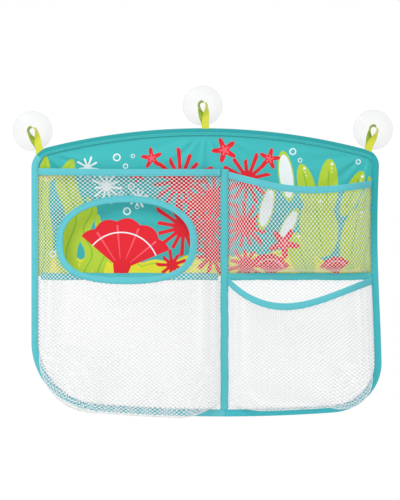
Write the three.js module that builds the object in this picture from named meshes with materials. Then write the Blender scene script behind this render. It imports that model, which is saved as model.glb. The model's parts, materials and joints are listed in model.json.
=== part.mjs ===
// Wall-hung bath toy organizer: a sewn panel, three net pockets, three ribbon loops and three suction cups.
// Millimetres. +X to the right, +Z up, the wall is the plane Y = 0 and the front faces -Y.
// The origin is the centre of the middle suction cup, on the wall.

import * as THREE from 'three';
import { mergeVertices } from 'three/addons/utils/BufferGeometryUtils.js';

// Cloth thicknesses and the clearance kept between neighbouring pieces
const clearance = 0.3;
const cloth = {
  print: 0.6,
  net: 0.8,
  tape: 0.7,
  ribbon: 0.8,
};

// Suction cup, a single clear moulding turned about the Y axis
const cup = {
  diameter: 55,
  lip: 1.2,
  lipThickness: 0.9,
  hollowDepth: 5,
  bodyDepth: 9,
  shoulderRadius: 10.5,
  neckRadius: 3.2,
  neckLength: 9.4,
  headRadius: 7.5,
  headThickness: 5,
  headRounding: 1.8,
  segments: 36,
  hollowShares: [0.35, 0.6, 0.82, 1],
  domeShares: [0.3, 0.6, 0.85, 1],
  crownShares: [0.35, 0.7, 1],
  roundingShares: [0.5, 1],
};

// Ribbon loops. A loop's legs have turned by neckTurn degrees where they reach the neck.
// The shares say over which part of a leg it turns, opens and comes to lie beside the other leg,
// and over which part of the ring the ribbon turns over.
const ribbon = {
  width: 10,
  neckWidth: 8,
  neckTurn: 68,
  turnShares: [0.25, 1],
  openShares: [0.1, 1],
  besideShares: [0, 0.5],
  turnoverShare: 0.6,
  rootTurnShares: [0.8, 0.55, 0.28],
  legSteps: 13,
  ringSteps: 12,
};

// Hangers: lean from the vertical, reach from the panel's edge to the cup's axis, place in from the side
const hangers = {
  left: { lean: -21.8, reach: 30.2, fromSide: 12 },
  centre: { lean: -7.5, reach: 32.2 },
  right: { lean: 15.5, reach: 29.6, fromSide: 16 },
};

// Panel outline: an arched top, straight sides, a slightly bowed bottom and four round corners
const panel = {
  left: 235.5,
  right: 243.5,
  height: 396.5,
  topRadius: 880,
  bottomRadius: 2000,
  topLeftCorner: 30,
  topRightCorner: 24,
  bottomLeftCorner: 95,
  bottomRightCorner: 70,
};

// Tapes: the folded edge tape is also the tape over each pocket's mouth and round the window
const tape = {
  edgeWidth: 9.5,
  seamWidth: 9.5,
  centreWidth: 10.5,
  centreX: 30,
  seamDrop: 204,
  hemMargin: 1.2,
  buttGap: 1,
  grooveGap: 0.5,
};

// Net of the lower back panel: a lattice of diamonds
const lattice = {
  pitchX: 26,
  pitchZ: 24,
  strand: 4,
  border: 12,
};

// Pockets. A mouth's ends hang leftDrop and rightDrop below the panel's crown and sag is how far it hangs
// between them. A skew under 1 moves its lowest point to the left, a slackness over 1 straightens its ends.
// Depths are measured out from the panel, run is how far in from a seam the bulge takes to fill out.
// The net droops over its lower seam by droop, and by up to cornerDroop more round the corner.
const pockets = {
  left: {
    side: 'left',
    leftDrop: 55.6,
    rightDrop: 56.6,
    sag: 1,
    skew: 1,
    slackness: 1,
    mouthDepth: 11,
    bellyDepth: 46,
    bellyShare: 0.22,
    run: 60,
    droop: 26,
    cornerDroop: 3,
    steps: { side: 9, corner: 8, bottom: 8, tape: 11, mouth: 12 },
    ringShares: [0.02, 0.06, 0.15, 0.28, 0.46, 0.72],
  },
  upperRight: {
    side: 'right',
    leftDrop: 60.2,
    rightDrop: 72.4,
    sag: 14.7,
    skew: 1,
    slackness: 1,
    mouthDepth: 30,
    bellyDepth: 34,
    bellyShare: 0.3,
    run: 45,
    droop: 6,
    cornerDroop: 0,
    steps: { side: 6, corner: 0, bottom: 10, tape: 7, mouth: 10 },
    ringShares: [0.04, 0.12, 0.26, 0.48, 0.76],
  },
  lowerRight: {
    side: 'right',
    leftDrop: 209.4,
    rightDrop: 209.4,
    sag: 31,
    skew: 0.72,
    slackness: 1.2,
    mouthDepth: 38,
    bellyDepth: 44,
    bellyShare: 0.3,
    run: 50,
    droop: 15,
    cornerDroop: 11,
    steps: { side: 4, corner: 6, bottom: 6, tape: 6, mouth: 12 },
    ringShares: [0.04, 0.12, 0.26, 0.48, 0.76],
  },
};
const pocketWall = {
  roundness: 2.2,
  droopReach: 16,
  bandStart: 2.2,
  bandLift: 1.7,
  hemTurn: 0.6,
};

// Oval window of the left pocket: outer half sizes of its tape, and how square each half of the oval is
const porthole = {
  x: -104,
  drop: 153.5,
  halfWidth: 97,
  halfHeight: 61,
  topPower: 2.2,
  bottomPower: 2.9,
};

// Sampling of the panel's outline
const outlineSteps = { corner: 8, arch: 22, bottom: 8 };

const degree = Math.PI / 180;
const half = (size) => size / 2;
const mix = (a, b, share) => a + (b - a) * share;
const clamp01 = (value) => Math.min(1, Math.max(0, value));
const ease = (share) => share * share * (3 - 2 * share);
const between = ([from, to], value) => ease(clamp01((value - from) / (to - from)));
const steps = (count) => Array.from({ length: count + 1 }, (_, i) => i / count);

// Levels in Y, counted from the panel's back face, which lies at the middle of the cups' necks
const neckMiddle = cup.bodyDepth + half(cup.neckLength);
const level = { panelBack: -neckMiddle };
level.panelFront = level.panelBack - cloth.print;
level.hemBack = level.panelFront - clearance;
level.hemMiddle = level.hemBack - half(cloth.net);
level.hemFront = level.hemBack - cloth.net;
level.tapeBack = level.hemFront - clearance;
level.tapeFront = level.tapeBack - cloth.tape;
level.bindingBack = level.panelBack + clearance + cloth.tape;
level.bindingGroove = level.panelBack + clearance;

// How far in from the outline each layer's edge lies
const inset = {
  panel: cloth.tape + clearance,
  netEdge: cloth.tape + clearance,
  netClear: tape.edgeWidth + tape.hemMargin,
};

// The outer loops' seams follow from the panel's sides, the middle loop's seam and the panel's crown from
// the middle cup, which lies at the origin.
hangers.left.seam = hangers.left.fromSide - panel.left;
hangers.right.seam = panel.right - hangers.right.fromSide;
hangers.centre.seam = -hangers.centre.reach * Math.sin(hangers.centre.lean * degree);
const archDrop = panel.topRadius - Math.sqrt(panel.topRadius ** 2 - hangers.centre.seam ** 2);
const crown = archDrop - hangers.centre.reach * Math.cos(hangers.centre.lean * degree);
const bottomZ = crown - panel.height;
const seamZ = crown - tape.seamDrop;

// Centres of the arcs that make the outline
const arch = new THREE.Vector2(0, crown - panel.topRadius);
const bow = new THREE.Vector2(tape.centreX, bottomZ + panel.bottomRadius);

// A corner circle that touches a straight side and a big arc from inside
function cornerCentre(sideX, towards, radius, big, bigRadius, upper) {
  const x = sideX + towards * radius;
  const rise = Math.sqrt((bigRadius - radius) ** 2 - (x - big.x) ** 2);
  return new THREE.Vector2(x, upper ? big.y + rise : big.y - rise);
}
const corners = {
  topLeft: cornerCentre(-panel.left, 1, panel.topLeftCorner, arch, panel.topRadius, true),
  topRight: cornerCentre(panel.right, -1, panel.topRightCorner, arch, panel.topRadius, true),
  bottomLeft: cornerCentre(-panel.left, 1, panel.bottomLeftCorner, bow, panel.bottomRadius, false),
  bottomRight: cornerCentre(panel.right, -1, panel.bottomRightCorner, bow, panel.bottomRadius, false),
};
const angleFrom = (from, to) => Math.atan2(to.y - from.y, to.x - from.x);

// A station of the outline gives its point at any inset, so that offset curves keep matching points
function arcStations(centre, radius, from, to, count) {
  return steps(count).map((share) => (depth) => {
    const angle = mix(from, to, share);
    const reach = radius - depth;
    return new THREE.Vector2(centre.x + reach * Math.cos(angle), centre.y + reach * Math.sin(angle));
  });
}

function cornerStations(name, from, to) {
  return arcStations(corners[name], panel[`${name}Corner`], from, to, outlineSteps.corner);
}

// Where the corner arcs meet the big arcs, and where the top binding meets the side bindings
const meet = {
  topLeft: angleFrom(arch, corners.topLeft),
  topRight: angleFrom(arch, corners.topRight),
  bottomLeft: angleFrom(bow, corners.bottomLeft),
  bottomRight: angleFrom(bow, corners.bottomRight),
};
const joinAngle = { left: 140 * degree, right: 45 * degree };
const straight = Math.PI;
const upright = half(Math.PI);

// The top edge from left to right between its two joins with the side bindings
function topStations() {
  return [
    ...cornerStations('topLeft', joinAngle.left, meet.topLeft),
    ...arcStations(arch, panel.topRadius, meet.topLeft, meet.topRight, outlineSteps.arch).slice(1, -1),
    ...cornerStations('topRight', meet.topRight, joinAngle.right),
  ];
}

// One side of the outline, from its join with the top binding down to the middle of the bottom edge
function sideStations(side, jointGap) {
  const left = side === 'left';
  const top = left ? corners.topLeft : corners.topRight;
  const low = left ? corners.bottomLeft : corners.bottomRight;
  const topRadius = left ? panel.topLeftCorner : panel.topRightCorner;
  const lowRadius = left ? panel.bottomLeftCorner : panel.bottomRightCorner;
  const sideways = left ? straight : 0;
  const turn = left ? 1 : -1;
  const start = (left ? joinAngle.left : joinAngle.right) + turn * (jointGap / topRadius);
  const lowMeet = left ? meet.bottomLeft + 2 * straight : meet.bottomRight;
  const middle = (left ? 3 : -1) * upright - turn * (half(jointGap) / panel.bottomRadius);
  return [
    ...arcStations(top, topRadius, start, sideways, outlineSteps.corner),
    ...arcStations(low, lowRadius, sideways, lowMeet, outlineSteps.corner),
    ...arcStations(bow, panel.bottomRadius, lowMeet, middle, outlineSteps.bottom).slice(1),
  ];
}

// Height of the outline's top and bottom edges at a given x
function topEdge(x) {
  for (const [corner, radius, outside] of [
    [corners.topLeft, panel.topLeftCorner, x < corners.topLeft.x],
    [corners.topRight, panel.topRightCorner, x > corners.topRight.x],
  ]) {
    if (outside) return corner.y + Math.sqrt(radius ** 2 - (x - corner.x) ** 2);
  }
  return arch.y + Math.sqrt(panel.topRadius ** 2 - (x - arch.x) ** 2);
}
const bottomEdge = (x, depth) => bow.y - Math.sqrt((panel.bottomRadius - depth) ** 2 - (x - bow.x) ** 2);

// Turns a geometry's triangles over if its faces point inwards
function outward(geometry) {
  const position = geometry.attributes.position;
  const index = geometry.index.array;
  const [a, b, c] = [new THREE.Vector3(), new THREE.Vector3(), new THREE.Vector3()];
  let volume = 0;
  for (let i = 0; i < index.length; i += 3) {
    a.fromBufferAttribute(position, index[i]);
    b.fromBufferAttribute(position, index[i + 1]);
    c.fromBufferAttribute(position, index[i + 2]);
    volume += a.dot(b.cross(c));
  }
  if (volume < 0) {
    for (let i = 0; i < index.length; i += 3) {
      [index[i + 1], index[i + 2]] = [index[i + 2], index[i + 1]];
    }
  }
  geometry.computeVertexNormals();
  return geometry;
}

// Skins a row of closed sections into one solid. An open row gets caps, with triangles from a flat outline.
function skin(sections, flatSection) {
  const count = sections[0].length;
  const closed = !flatSection;
  const positions = sections.flat().flatMap((point) => [point.x, point.y, point.z]);
  const triangles = [];
  const rows = closed ? sections.length : sections.length - 1;
  for (let row = 0; row < rows; row += 1) {
    const here = row * count;
    const next = ((row + 1) % sections.length) * count;
    for (let k = 0; k < count; k += 1) {
      const after = (k + 1) % count;
      triangles.push([here + k, here + after, next + after], [here + k, next + after, next + k]);
    }
  }
  if (!closed) {
    const last = (sections.length - 1) * count;
    const clockwise = THREE.ShapeUtils.isClockWise(flatSection);
    for (const [i, p, q] of THREE.ShapeUtils.triangulateShape(flatSection, [])) {
      const [j, k] = clockwise ? [q, p] : [p, q];
      triangles.push([i, k, j], [last + i, last + j, last + k]);
    }
  }
  const loose = new THREE.BufferGeometry();
  loose.setAttribute('position', new THREE.Float32BufferAttribute(positions, 3));
  loose.setIndex(triangles.flat());
  const merged = mergeVertices(loose);
  const kept = [];
  const found = merged.index.array;
  for (let i = 0; i < found.length; i += 3) {
    const [p, q, r] = [found[i], found[i + 1], found[i + 2]];
    if (p !== q && q !== r && r !== p) kept.push(p, q, r);
  }
  merged.setIndex(kept);
  return outward(merged);
}

const point3 = (flat, y) => new THREE.Vector3(flat.x, y, flat.y);

// A flat outline in X and Z given a thickness towards -Y
function flatCloth(shape, back, thickness) {
  const geometry = new THREE.ExtrudeGeometry(shape, { depth: thickness, bevelEnabled: false });
  geometry.rotateX(upright);
  geometry.translate(0, back, 0);
  return geometry;
}

// Folded tape over the panel's edge: a U whose groove holds the panel and the net's hem
const edgeSection = [
  [0, level.bindingBack],
  [tape.edgeWidth, level.bindingBack],
  [tape.edgeWidth, level.bindingGroove],
  [cloth.tape, level.bindingGroove],
  [cloth.tape, level.tapeBack],
  [tape.edgeWidth, level.tapeBack],
  [tape.edgeWidth, level.tapeFront],
  [0, level.tapeFront],
];
function edgeTape(stations) {
  const sections = stations.map((at) => edgeSection.map(([depth, y]) => point3(at(depth), y)));
  return skin(sections, edgeSection.map(([depth, y]) => new THREE.Vector2(depth, y)));
}

// Height of a pocket's mouth: a chord between its two ends less the sag times a power of a skewed sine
function mouthHeight(pocket, x) {
  const [from, to] = mouthEnds(pocket);
  const share = clamp01((x - from) / (to - from));
  const sag = pocket.sag * Math.max(0, Math.sin(straight * share ** pocket.skew)) ** pocket.slackness;
  return crown - mix(pocket.leftDrop, pocket.rightDrop, share) - sag;
}
function mouthEnds(pocket) {
  if (pocket.side === 'left') return [-panel.left + tape.edgeWidth, tape.centreX - half(tape.centreWidth)];
  return [tape.centreX + half(tape.centreWidth), panel.right - tape.edgeWidth];
}

// The net's edge (ring 0) and its seam allowance's inner edge (ring 1), as insets from what covers them
const ringInset = {
  edge: [inset.netEdge + clearance, inset.netClear],
  tape: [half(tape.buttGap), half(tape.centreWidth) + tape.hemMargin],
  seam: [half(tape.buttGap), half(tape.seamWidth) + tape.hemMargin],
  mouth: [cloth.tape + clearance, inset.netClear],
};

const outwards = (pocket) => (pocket.side === 'left' ? -1 : 1);
const cornerOf = (pocket) => (pocket.side === 'left' ? corners.bottomLeft : corners.bottomRight);
const cornerRadius = (pocket) => (
  pocket.side === 'left' ? panel.bottomLeftCorner : panel.bottomRightCorner
);
const outerX = (pocket, depth) => (pocket.side === 'left' ? -panel.left + depth : panel.right - depth);
const innerX = (pocket, depth) => tape.centreX + outwards(pocket) * depth;

// One ring of a pocket's edge, in order: outer side, round corner, bottom, divider side, mouth
function edgeRing(pocket, ring) {
  const count = pocket.steps;
  const out = outerX(pocket, ringInset.edge[ring]);
  const inner = innerX(pocket, ringInset.tape[ring]);
  const mouthAt = (x) => mouthHeight(pocket, x) - ringInset.mouth[ring];
  const points = [];
  const line = (from, to, n) => {
    for (const share of steps(n).slice(0, -1)) {
      points.push(new THREE.Vector2(mix(from.x, to.x, share), mix(from.y, to.y, share)));
    }
  };
  const top = new THREE.Vector2(out, mouthAt(out));
  let innerLow;
  if (count.corner) {
    const depth = ringInset.edge[ring];
    const corner = cornerOf(pocket);
    const left = pocket.side === 'left';
    const bend = left ? meet.bottomLeft + 2 * straight : meet.bottomRight;
    const reach = panel.bottomRadius - depth;
    const end = (left ? 3 : -1) * upright + Math.asin((inner - bow.x) / reach);
    line(top, new THREE.Vector2(out, corner.y), count.side);
    const round = arcStations(corner, cornerRadius(pocket), left ? straight : 0, bend, count.corner);
    points.push(...round.slice(0, -1).map((at) => at(depth)));
    const low = arcStations(bow, panel.bottomRadius, bend, end, count.bottom);
    points.push(...low.slice(0, -1).map((at) => at(depth)));
    innerLow = new THREE.Vector2(inner, bottomEdge(inner, depth));
  } else {
    const z = seamZ + ringInset.seam[ring];
    line(top, new THREE.Vector2(out, z), count.side);
    innerLow = new THREE.Vector2(inner, z);
    line(new THREE.Vector2(out, z), innerLow, count.bottom);
  }
  line(innerLow, new THREE.Vector2(inner, mouthAt(inner)), count.tape);
  const turn = ring * pocketWall.hemTurn;
  const free = [ringInset.tape[1], ringInset.edge[1]];
  const bandFrom = innerX(pocket, free[0] + pocketWall.bandStart);
  const bandTo = outerX(pocket, free[1] + pocketWall.bandStart);
  const xs = [
    inner,
    innerX(pocket, free[0] + turn),
    ...steps(count.mouth).map((share) => mix(bandFrom, bandTo, share)),
    outerX(pocket, free[1] + turn),
  ];
  points.push(...xs.map((x) => new THREE.Vector2(x, mouthAt(x))));
  return points;
}

// The first and last columns that the band over a pocket's mouth covers
function bandColumns(pocket) {
  const { side, corner, bottom, tape: divider, mouth } = pocket.steps;
  const first = side + corner + bottom + divider + 2;
  return [first, first + mouth];
}

// How far a point lies inside the sewn outer edge, and the angle by which that edge faces down
function edgeDistance(pocket, x, z) {
  const depth = inset.netClear;
  const fromSide = outwards(pocket) * (outerX(pocket, depth) - x);
  if (!pocket.steps.corner) return { distance: fromSide, fall: 0 };
  const corner = cornerOf(pocket);
  const radius = cornerRadius(pocket) - depth;
  const beyond = outwards(pocket) * (x - corner.x);
  const fromBottom = z - bottomEdge(x, depth);
  if (beyond > 0 && z < corner.y) {
    const reach = Math.hypot(beyond, corner.y - z);
    return { distance: radius - reach, fall: Math.atan2(corner.y - z, beyond) };
  }
  if (beyond > 0) return { distance: fromSide, fall: 0 };
  return fromBottom < fromSide ? { distance: fromBottom, fall: upright } : { distance: fromSide, fall: 0 };
}

// A wall that leaves its seam steeply and rounds off into the front
const filled = (distance, run) => 1 - (1 - clamp01(distance / run)) ** pocketWall.roundness;

// Where a net point hangs: its bulge out of the panel, and its droop over the lower seam
function hang(pocket, x, z, lift = 0) {
  const edge = edgeDistance(pocket, x, z);
  const fromTape = outwards(pocket) * (x - innerX(pocket, ringInset.tape[1]));
  const lower = pocket.steps.corner ? bottomEdge(x, 0) : seamZ;
  const fromSeam = z - seamZ - ringInset.seam[1];
  const height = clamp01((z - lower) / (mouthHeight(pocket, x) - lower));
  const rise = clamp01((height - pocket.bellyShare) / (1 - pocket.bellyShare));
  const depth = mix(pocket.bellyDepth, pocket.mouthDepth, ease(rise));
  const share = filled(edge.distance, pocket.run) * filled(fromTape, pocket.run);
  const low = pocket.steps.corner ? 1 : filled(fromSeam, pocket.run);
  const droopAt = Math.max(0, pocket.steps.corner ? edge.distance : fromSeam);
  const fall = pocket.steps.corner ? edge.fall : upright;
  const wave = droopAt / pocketWall.droopReach;
  const reach = (pocket.droop + pocket.cornerDroop * Math.sin(2 * fall)) * Math.sqrt(Math.sin(fall));
  const droop = reach * wave ** 2 * Math.exp(2 * (1 - wave)) * filled(fromTape, pocket.run);
  const bulge = Math.max(lift, depth * share * low);
  return new THREE.Vector3(
    x + outwards(pocket) * droop * Math.cos(fall),
    level.hemMiddle - bulge,
    z - droop * Math.sin(fall),
  );
}

// The oval at a polar angle, grown outwards by a distance
function oval(angle, grow) {
  const [cos, sin] = [Math.cos(angle), Math.sin(angle)];
  const power = sin > 0 ? porthole.topPower : porthole.bottomPower;
  const across = Math.abs(cos) / (porthole.halfWidth + grow);
  const up = Math.abs(sin) / (porthole.halfHeight + grow);
  const reach = (across ** power + up ** power) ** (-1 / power);
  return new THREE.Vector2(portholeCentre.x + reach * cos, portholeCentre.y + reach * sin);
}
const portholeCentre = new THREE.Vector2(porthole.x, crown - porthole.drop);

// Middle surface of a pocket's net: a column for each point of its edge, in to the window or the middle
function netColumns(pocket) {
  const outer = edgeRing(pocket, 0);
  const hem = edgeRing(pocket, 1);
  const [from, to] = [innerX(pocket, 0), outerX(pocket, 0)];
  const lower = pocket.steps.corner ? bottomZ : seamZ;
  const middleX = half(from + to);
  const middle = new THREE.Vector2(middleX, half(lower + mouthHeight(pocket, middleX)));
  const [first, last] = bandColumns(pocket);
  return hem.map((start, i) => {
    const free = i >= first && i <= last;
    const column = [outer[i], start].map((at) => (free
      ? hang(pocket, at.x, at.y, pocketWall.bandLift)
      : point3(at, level.hemMiddle)));
    const angle = Math.atan2(start.y - portholeCentre.y, start.x - portholeCentre.x);
    const target = pocket === pockets.left ? oval(angle, tape.hemMargin) : middle;
    for (const share of [...pocket.ringShares, 1]) {
      column.push(hang(pocket, mix(start.x, target.x, share), mix(start.y, target.y, share)));
    }
    if (pocket === pockets.left) {
      const edge = oval(angle, cloth.tape + clearance - tape.edgeWidth);
      column.push(hang(pocket, edge.x, edge.y));
    }
    return column;
  });
}

// Unit normals of a grid of columns that closes on itself. The sign of turn says which way round it runs.
function gridNormals(columns, turn) {
  return columns.map((column, i) => {
    const before = columns[(i + columns.length - 1) % columns.length];
    const after = columns[(i + 1) % columns.length];
    return column.map((point, k) => {
      const inwards = column[Math.min(k + 1, column.length - 1)].clone().sub(column[Math.max(k - 1, 0)]);
      const around = after[k].clone().sub(before[k]);
      const normal = inwards.cross(around);
      if (normal.lengthSq() === 0) return new THREE.Vector3(0, -1, 0);
      return normal.normalize().multiplyScalar(turn);
    });
  });
}

// The net as a thin shell round its middle surface
function netShell(columns, normals) {
  const reach = half(cloth.net);
  return skin(columns.map((column, i) => {
    const front = column.map((point, k) => point.clone().addScaledVector(normals[i][k], reach));
    const back = column.map((point, k) => point.clone().addScaledVector(normals[i][k], -reach));
    return [...front, ...back.reverse()];
  }));
}

// Folded tape over a free edge of the net. It runs from a seam point to the net's edge and past it.
const foldSection = (() => {
  const groove = half(cloth.net) + tape.grooveGap;
  const outside = groove + cloth.tape;
  const web = clearance;
  const end = web + cloth.tape;
  return [
    [-tape.edgeWidth + end, -outside],
    [end, -outside],
    [end, outside],
    [-tape.edgeWidth + end, outside],
    [-tape.edgeWidth + end, groove],
    [web, groove],
    [web, -groove],
    [-tape.edgeWidth + end, -groove],
  ];
})();
function foldedTape(runs, closed) {
  const sections = runs.map(({ from, edge, normal }) => {
    const along = edge.clone().sub(from).normalize();
    const out = normal.clone().addScaledVector(along, -normal.dot(along)).normalize();
    return foldSection.map(([past, up]) => (
      edge.clone().addScaledVector(along, past).addScaledVector(out, up)
    ));
  });
  return skin(sections, closed ? null : foldSection.map(([past, up]) => new THREE.Vector2(past, up)));
}

// A pocket's net and the tape over its mouth
function pocketPieces(pocket) {
  const columns = netColumns(pocket);
  const normals = gridNormals(columns, outwards(pocket));
  const [first, last] = bandColumns(pocket);
  const mouthRuns = columns.slice(first, last + 1).map((column, i) => ({
    from: column[1],
    edge: column[0],
    normal: normals[first + i][0].clone().add(normals[first + i][1]),
  }));
  const pieces = { net: netShell(columns, normals), band: foldedTape(mouthRuns, false) };
  if (pocket === pockets.left) {
    const windowRuns = columns.map((column, i) => ({
      from: column[column.length - 2],
      edge: column[column.length - 1],
      normal: normals[i][column.length - 1].clone().add(normals[i][column.length - 2]),
    }));
    pieces.window = foldedTape(windowRuns, true);
  }
  return pieces;
}

// A straight flat tape on the panel
function flatTape(fromX, toX, fromZ, toZ, back) {
  const geometry = new THREE.BoxGeometry(toX - fromX, cloth.tape, toZ - fromZ);
  geometry.translate(half(fromX + toX), back - half(cloth.tape), half(fromZ + toZ));
  return geometry;
}

// Upper back panel: the outline above the seam
function printedPanel() {
  const edge = inset.panel;
  const low = seamZ + half(clearance);
  const top = topStations().map((at) => at(edge));
  const left = cornerStations('topLeft', straight, joinAngle.left);
  const right = cornerStations('topRight', joinAngle.right, 0);
  return flatCloth(new THREE.Shape([
    new THREE.Vector2(-panel.left + edge, low),
    ...left.slice(0, -1).map((at) => at(edge)),
    ...top,
    ...right.slice(1).map((at) => at(edge)),
    new THREE.Vector2(panel.right - edge, low),
  ]), level.panelBack, cloth.print);
}

// Lower back panel: the outline below the seam, cut into a lattice of diamonds inside a plain border
function netPanel() {
  const edge = inset.panel;
  const high = seamZ - half(clearance);
  const left = sideStations('left', 0).slice(outlineSteps.corner + 1);
  const right = sideStations('right', 0).slice(outlineSteps.corner + 1);
  const shape = new THREE.Shape([
    new THREE.Vector2(panel.right - edge, high),
    ...right.slice(0, -1).map((at) => at(edge)),
    ...left.reverse().map((at) => at(edge)),
    new THREE.Vector2(-panel.left + edge, high),
  ].reverse());
  const [reachX, reachZ] = [half(lattice.pitchX - lattice.strand), half(lattice.pitchZ - lattice.strand)];
  const inside = (x, z) => high - z >= lattice.border
    && ['left', 'right'].every((side) => insideOutline(side, x, z) >= lattice.border);
  const rows = Math.ceil(panel.height / lattice.pitchZ) * 2;
  const columns = Math.ceil((panel.left + panel.right) / lattice.pitchX);
  for (let row = 0; row < rows; row += 1) {
    for (let column = -columns; column <= columns; column += 1) {
      const x = tape.centreX + (column + half(row % 2)) * lattice.pitchX;
      const z = high - lattice.border - half(row + 1) * lattice.pitchZ;
      const ends = [[x + reachX, z], [x, z + reachZ], [x - reachX, z], [x, z - reachZ]];
      if (ends.every(([px, pz]) => inside(px, pz))) {
        shape.holes.push(new THREE.Path(ends.map(([px, pz]) => new THREE.Vector2(px, pz))));
      }
    }
  }
  return flatCloth(shape, level.panelBack, cloth.print);
}
function insideOutline(side, x, z) {
  const left = side === 'left';
  const corner = left ? corners.bottomLeft : corners.bottomRight;
  const radius = left ? panel.bottomLeftCorner : panel.bottomRightCorner;
  const fromSide = left ? x + panel.left : panel.right - x;
  const beyond = left ? corner.x - x : x - corner.x;
  if (beyond > 0 && z < corner.y) return radius - Math.hypot(beyond, corner.y - z);
  return Math.min(fromSide, z - bottomEdge(x, 0));
}

// Suction cup turned about Y: lip on the wall, hollow under the body, neck for the ribbon and a round head
function suctionCup() {
  const radius = half(cup.diameter);
  const neckEnd = -cup.bodyDepth - cup.neckLength;
  const headEnd = neckEnd - cup.headThickness;
  const profile = [new THREE.Vector2(0, -cup.hollowDepth)];
  const hollowRadius = radius - cup.lip;
  for (const share of cup.hollowShares) {
    profile.push(new THREE.Vector2(hollowRadius * share, -cup.hollowDepth * (1 - share ** 3)));
  }
  profile.push(new THREE.Vector2(radius, 0), new THREE.Vector2(radius, -cup.lipThickness));
  for (const share of cup.domeShares) {
    const bend = Math.sin(share * upright);
    profile.push(new THREE.Vector2(
      mix(radius, cup.shoulderRadius, share),
      mix(-cup.lipThickness, -cup.bodyDepth, bend),
    ));
  }
  profile.push(new THREE.Vector2(cup.neckRadius, -cup.bodyDepth));
  profile.push(new THREE.Vector2(cup.neckRadius, neckEnd));
  profile.push(new THREE.Vector2(cup.headRadius - cup.headRounding, neckEnd));
  const round = cup.headRounding;
  for (const share of cup.roundingShares) {
    profile.push(new THREE.Vector2(
      cup.headRadius - round + round * Math.sin(share * upright),
      neckEnd - round + round * Math.cos(share * upright),
    ));
  }
  for (const share of cup.crownShares) {
    const flat = 1 - share;
    profile.push(new THREE.Vector2(
      cup.headRadius * Math.sqrt(1 - (1 - flat) ** 2),
      mix(neckEnd - round, headEnd, share),
    ));
  }
  const geometry = new THREE.LatheGeometry(profile, cup.segments);
  geometry.deleteAttribute('normal');
  geometry.deleteAttribute('uv');
  const merged = mergeVertices(geometry);
  const index = [];
  const found = merged.index.array;
  for (let i = 0; i < found.length; i += 3) {
    const [p, q, r] = [found[i], found[i + 1], found[i + 2]];
    if (p !== q && q !== r && r !== p) index.push(p, q, r);
  }
  merged.setIndex(index);
  return outward(merged);
}

// Ribbon loop standing along +Z from its sewn root, round a neck whose axis is Y. Its two legs lie flat on
// each other at the root, one in front of the other. On the way up they part and turn, so that they pass the
// neck side by side, still slanted: the front shows the outside of one leg and the inside of the other.
function ribbonLoop(hanger) {
  const neckTurn = ribbon.neckTurn * degree;
  const root = rootLift(hanger);
  const rootReach = half(clearance) + cloth.ribbon;
  const rootApart = half(clearance) + half(cloth.ribbon);
  const middleY = level.hemMiddle - level.panelBack - neckMiddle;
  const ringReach = (slant) => cup.neckRadius + clearance + half(ribbon.neckWidth) * Math.abs(slant)
    + half(cloth.ribbon) * Math.sqrt(1 - slant ** 2);
  const leg = (share, sign) => {
    const turned = between(ribbon.turnShares, share);
    const apart = between(ribbon.besideShares, share) * upright;
    const turn = turned * neckTurn;
    const away = mix(rootApart, ringReach(Math.cos(neckTurn)), between(ribbon.openShares, share));
    return {
      centre: new THREE.Vector3(
        sign * away * Math.sin(apart),
        mix(middleY, -neckMiddle, ease(share)) - sign * away * Math.cos(apart),
        mix(root, hanger.reach, share),
      ),
      across: new THREE.Vector3(Math.cos(turn), Math.sin(turn), 0),
      outwards: new THREE.Vector3(Math.sin(turn), -Math.cos(turn), 0).multiplyScalar(sign),
      inner: -half(cloth.ribbon),
      width: mix(ribbon.width, ribbon.neckWidth, turned),
    };
  };
  // The root's folded end: both legs' outer faces curve in to meet
  const rootEnd = (turnShare, sign) => {
    const angle = turnShare * upright;
    const station = leg(0, sign);
    station.centre.z -= rootReach * Math.sin(angle);
    station.outer = rootReach * Math.cos(angle) - rootApart;
    return station;
  };
  const ringAt = (share) => {
    const angle = share * straight;
    const slant = Math.cos(neckTurn) * Math.cos(straight * Math.min(1, share / ribbon.turnoverShare));
    const upwards = Math.sqrt(1 - slant ** 2);
    const radial = new THREE.Vector3(Math.cos(angle), 0, Math.sin(angle));
    const along = new THREE.Vector3(0, 1, 0);
    return {
      centre: new THREE.Vector3(0, -neckMiddle, hanger.reach).addScaledVector(radial, ringReach(slant)),
      across: radial.clone().multiplyScalar(slant).addScaledVector(along, upwards),
      outwards: radial.clone().multiplyScalar(upwards).addScaledVector(along, -slant),
      inner: -half(cloth.ribbon),
      width: ribbon.neckWidth,
    };
  };
  const legShares = steps(ribbon.legSteps);
  const stations = [
    ...ribbon.rootTurnShares.map((share) => rootEnd(share, 1)),
    ...legShares.map((share) => leg(share, 1)),
    ...steps(ribbon.ringSteps).slice(1, -1).map(ringAt),
    ...[...legShares].reverse().map((share) => leg(share, -1)),
    ...[...ribbon.rootTurnShares].reverse().map((share) => rootEnd(share, -1)),
  ];
  const corner = (station, out, side) => station.centre.clone()
    .addScaledVector(station.outwards, out)
    .addScaledVector(station.across, side * half(station.width));
  const sections = stations.map((station) => {
    const { inner, outer = half(cloth.ribbon) } = station;
    return [
      corner(station, inner, -1),
      corner(station, outer, -1),
      corner(station, outer, 1),
      corner(station, inner, 1),
    ];
  });
  const unitSquare = [
    new THREE.Vector2(0, -1),
    new THREE.Vector2(1, -1),
    new THREE.Vector2(1, 1),
    new THREE.Vector2(0, 1),
  ];
  return skin(sections, unitSquare);
}

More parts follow.
